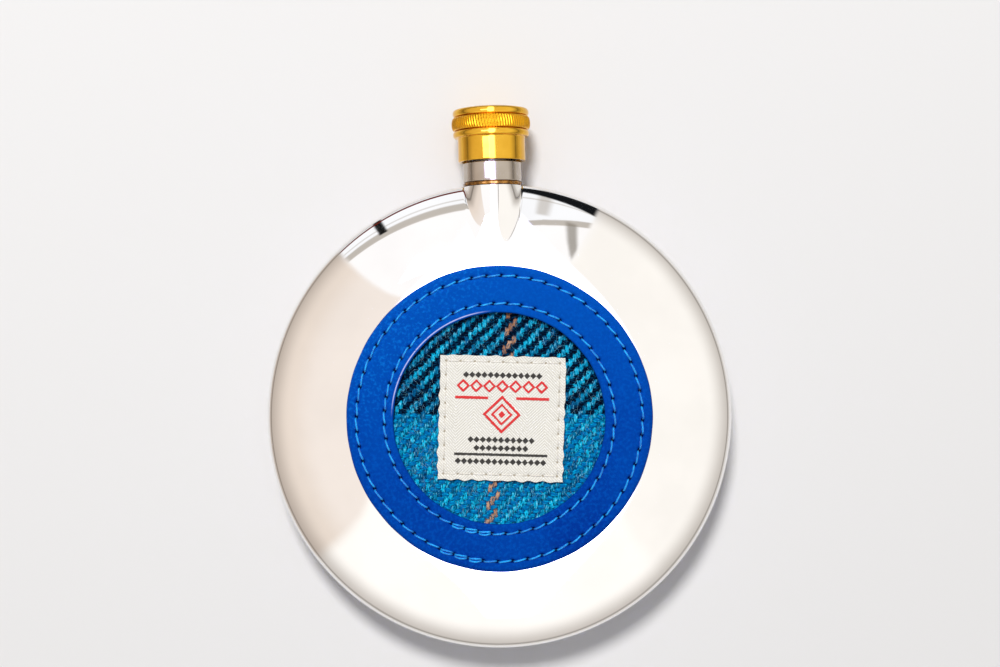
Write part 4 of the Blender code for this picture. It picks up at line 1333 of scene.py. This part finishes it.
def brass_cap():
    obj = neck_turned("brass_cap", cap_outline(), CAP_STEPS)
    spots = corners(obj) / MM
    radius, turn, station = round_the_neck(spots)
    height = (2 * station - KNURL_FOOT - KNURL_TOP) / (KNURL_TOP - KNURL_FOOT)
    on_knurl = (np.abs(height) < 1.0) & (radius > 8.55)
    crest = np.clip(1 - height**2, 0.0, 1.0) ** 0.5
    tooth = np.arcsin(0.96 * np.cos(KNURL_TEETH * turn + 2.4 * height)) / 1.287
    uneven = 1 + 0.10 * np.sin(17 * turn + 1) + 0.06 * np.sin(29 * turn)
    cut = KNURL_DEPTH * uneven * (0.5 - 0.5 * tooth) * crest
    radius = np.where(on_knurl, radius - cut, radius)
    wobble = 0.012 * np.sin(3 * turn + station) + 0.008 * np.sin(7 * turn - 2 * station)
    radius = np.where((radius > SLEEVE - 0.1) & ~on_knurl & (station > 65.5), radius + wobble, radius)
    move_corners(obj, set_radius(spots, radius, turn) * MM)
    smooth(obj)
    return obj


def brass_finish():
    material, shader, n = new_finish("polished brass")
    cloud, grain = clouds(n, 160.0, 1400.0)
    shader.inputs["Metallic"].default_value = 1.0
    colour = n.mix(cloud, (0.74, 0.40, 0.034), (0.82, 0.47, 0.048))
    # Painted shade: the whole knurled band is a deeper gold, for the shade in its cuts, and it is also
    # duller.
    where = n.parts(n.add("ShaderNodeTexCoord").outputs["Object"])
    knurled = n.between(where[1], (KNURL_FOOT + 0.14) * MM, (KNURL_TOP - 0.16) * MM, 0.0002)
    n.put(shader.inputs["Base Color"], n.mix(knurled, colour, (0.72, 0.345, 0.012)))
    roughness = n.ramp(cloud, 0.0, 1.0, 0.07, 0.12)
    n.put(shader.inputs["Roughness"], n.math("MAXIMUM", roughness, n.mul(knurled, 0.24)))
    bump(n, shader, n.plus(grain, n.mul(cloud, 3.0)), 0.000003)
    return material


finish_piece(brass_cap(), brass_finish(), "cap", "polished_brass", "cap_shell")

# ------------------------------------------------------------------ cap insert and seal
# A moulded cream plastic insert pressed into the brass carries the inner thread. A loose disc of pale
# rubber lies at its end and seals on the neck's lip; it rides up with the cap but need not turn.
INSERT_BORE = 6.2
INSERT_RADIUS = 6.82
INSERT_FOOT = 60.9
INSERT_END = 71.6
INSERT_CEILING = 70.8
INSERT_CREST = 5.42
SEAL_RADIUS = 5.9
SEAL_FACE = 69.3
SEAL_BACK = 70.5


def threaded_insert():
    outline = [(0.0, INSERT_CEILING), (INSERT_BORE, INSERT_CEILING)]
    outline += [(INSERT_BORE, y) for y in np.arange(68.6, 61.3, -0.14)]
    outline += [(INSERT_BORE + 0.15, INSERT_FOOT), (INSERT_RADIUS - 0.1, INSERT_FOOT)]
    outline += [(INSERT_RADIUS, INSERT_FOOT + 0.12), (INSERT_RADIUS, INSERT_END - 0.2)]
    outline += [(INSERT_RADIUS - 0.2, INSERT_END), (0.0, INSERT_END)]
    obj = neck_turned("threaded_insert", outline, 120)
    spots = corners(obj) / MM
    radius, turn, station = round_the_neck(spots)
    bore = (np.abs(radius - INSERT_BORE) < 0.05) & (station > 61.4) & (station < 68.7)
    form = thread_form(station, turn, THREAD_FIRST, THREAD_LAST - 0.3, 0.5)
    radius = np.where(bore, radius - (INSERT_BORE - INSERT_CREST) * form, radius)
    move_corners(obj, set_radius(spots, radius, turn) * MM)
    smooth(obj)
    return obj


def seal_disc():
    outline = [(0.0, SEAL_FACE), (3.9, SEAL_FACE), (4.2, SEAL_FACE + 0.06), (5.2, SEAL_FACE + 0.06)]
    outline += arc_points((SEAL_RADIUS - 0.2, SEAL_FACE + 0.2), 0.2, -QUARTER, 0.0, 3)
    outline += arc_points((SEAL_RADIUS - 0.2, SEAL_BACK - 0.2), 0.2, 0.0, QUARTER, 3)
    outline.append((0.0, SEAL_BACK))
    obj = neck_turned("rubber_seal", outline, 96)
    smooth(obj)
    return obj


MOULD_SCALES = (300.0, 2200.0)
plastic_colours = (0.66, 0.64, 0.58), (0.74, 0.72, 0.66)
plastic = dull_finish("insert plastic", *plastic_colours, 0.35, MOULD_SCALES, 0.00001)
finish_piece(threaded_insert(), plastic, "cap", "insert_plastic", "cap_insert")
rubber_colours = (0.60, 0.59, 0.55), (0.68, 0.67, 0.63)
rubber = dull_finish("seal rubber", *rubber_colours, 0.6, MOULD_SCALES, 0.00001)
finish_piece(seal_disc(), rubber, "cap_travel", "seal_rubber", "cap_seal")
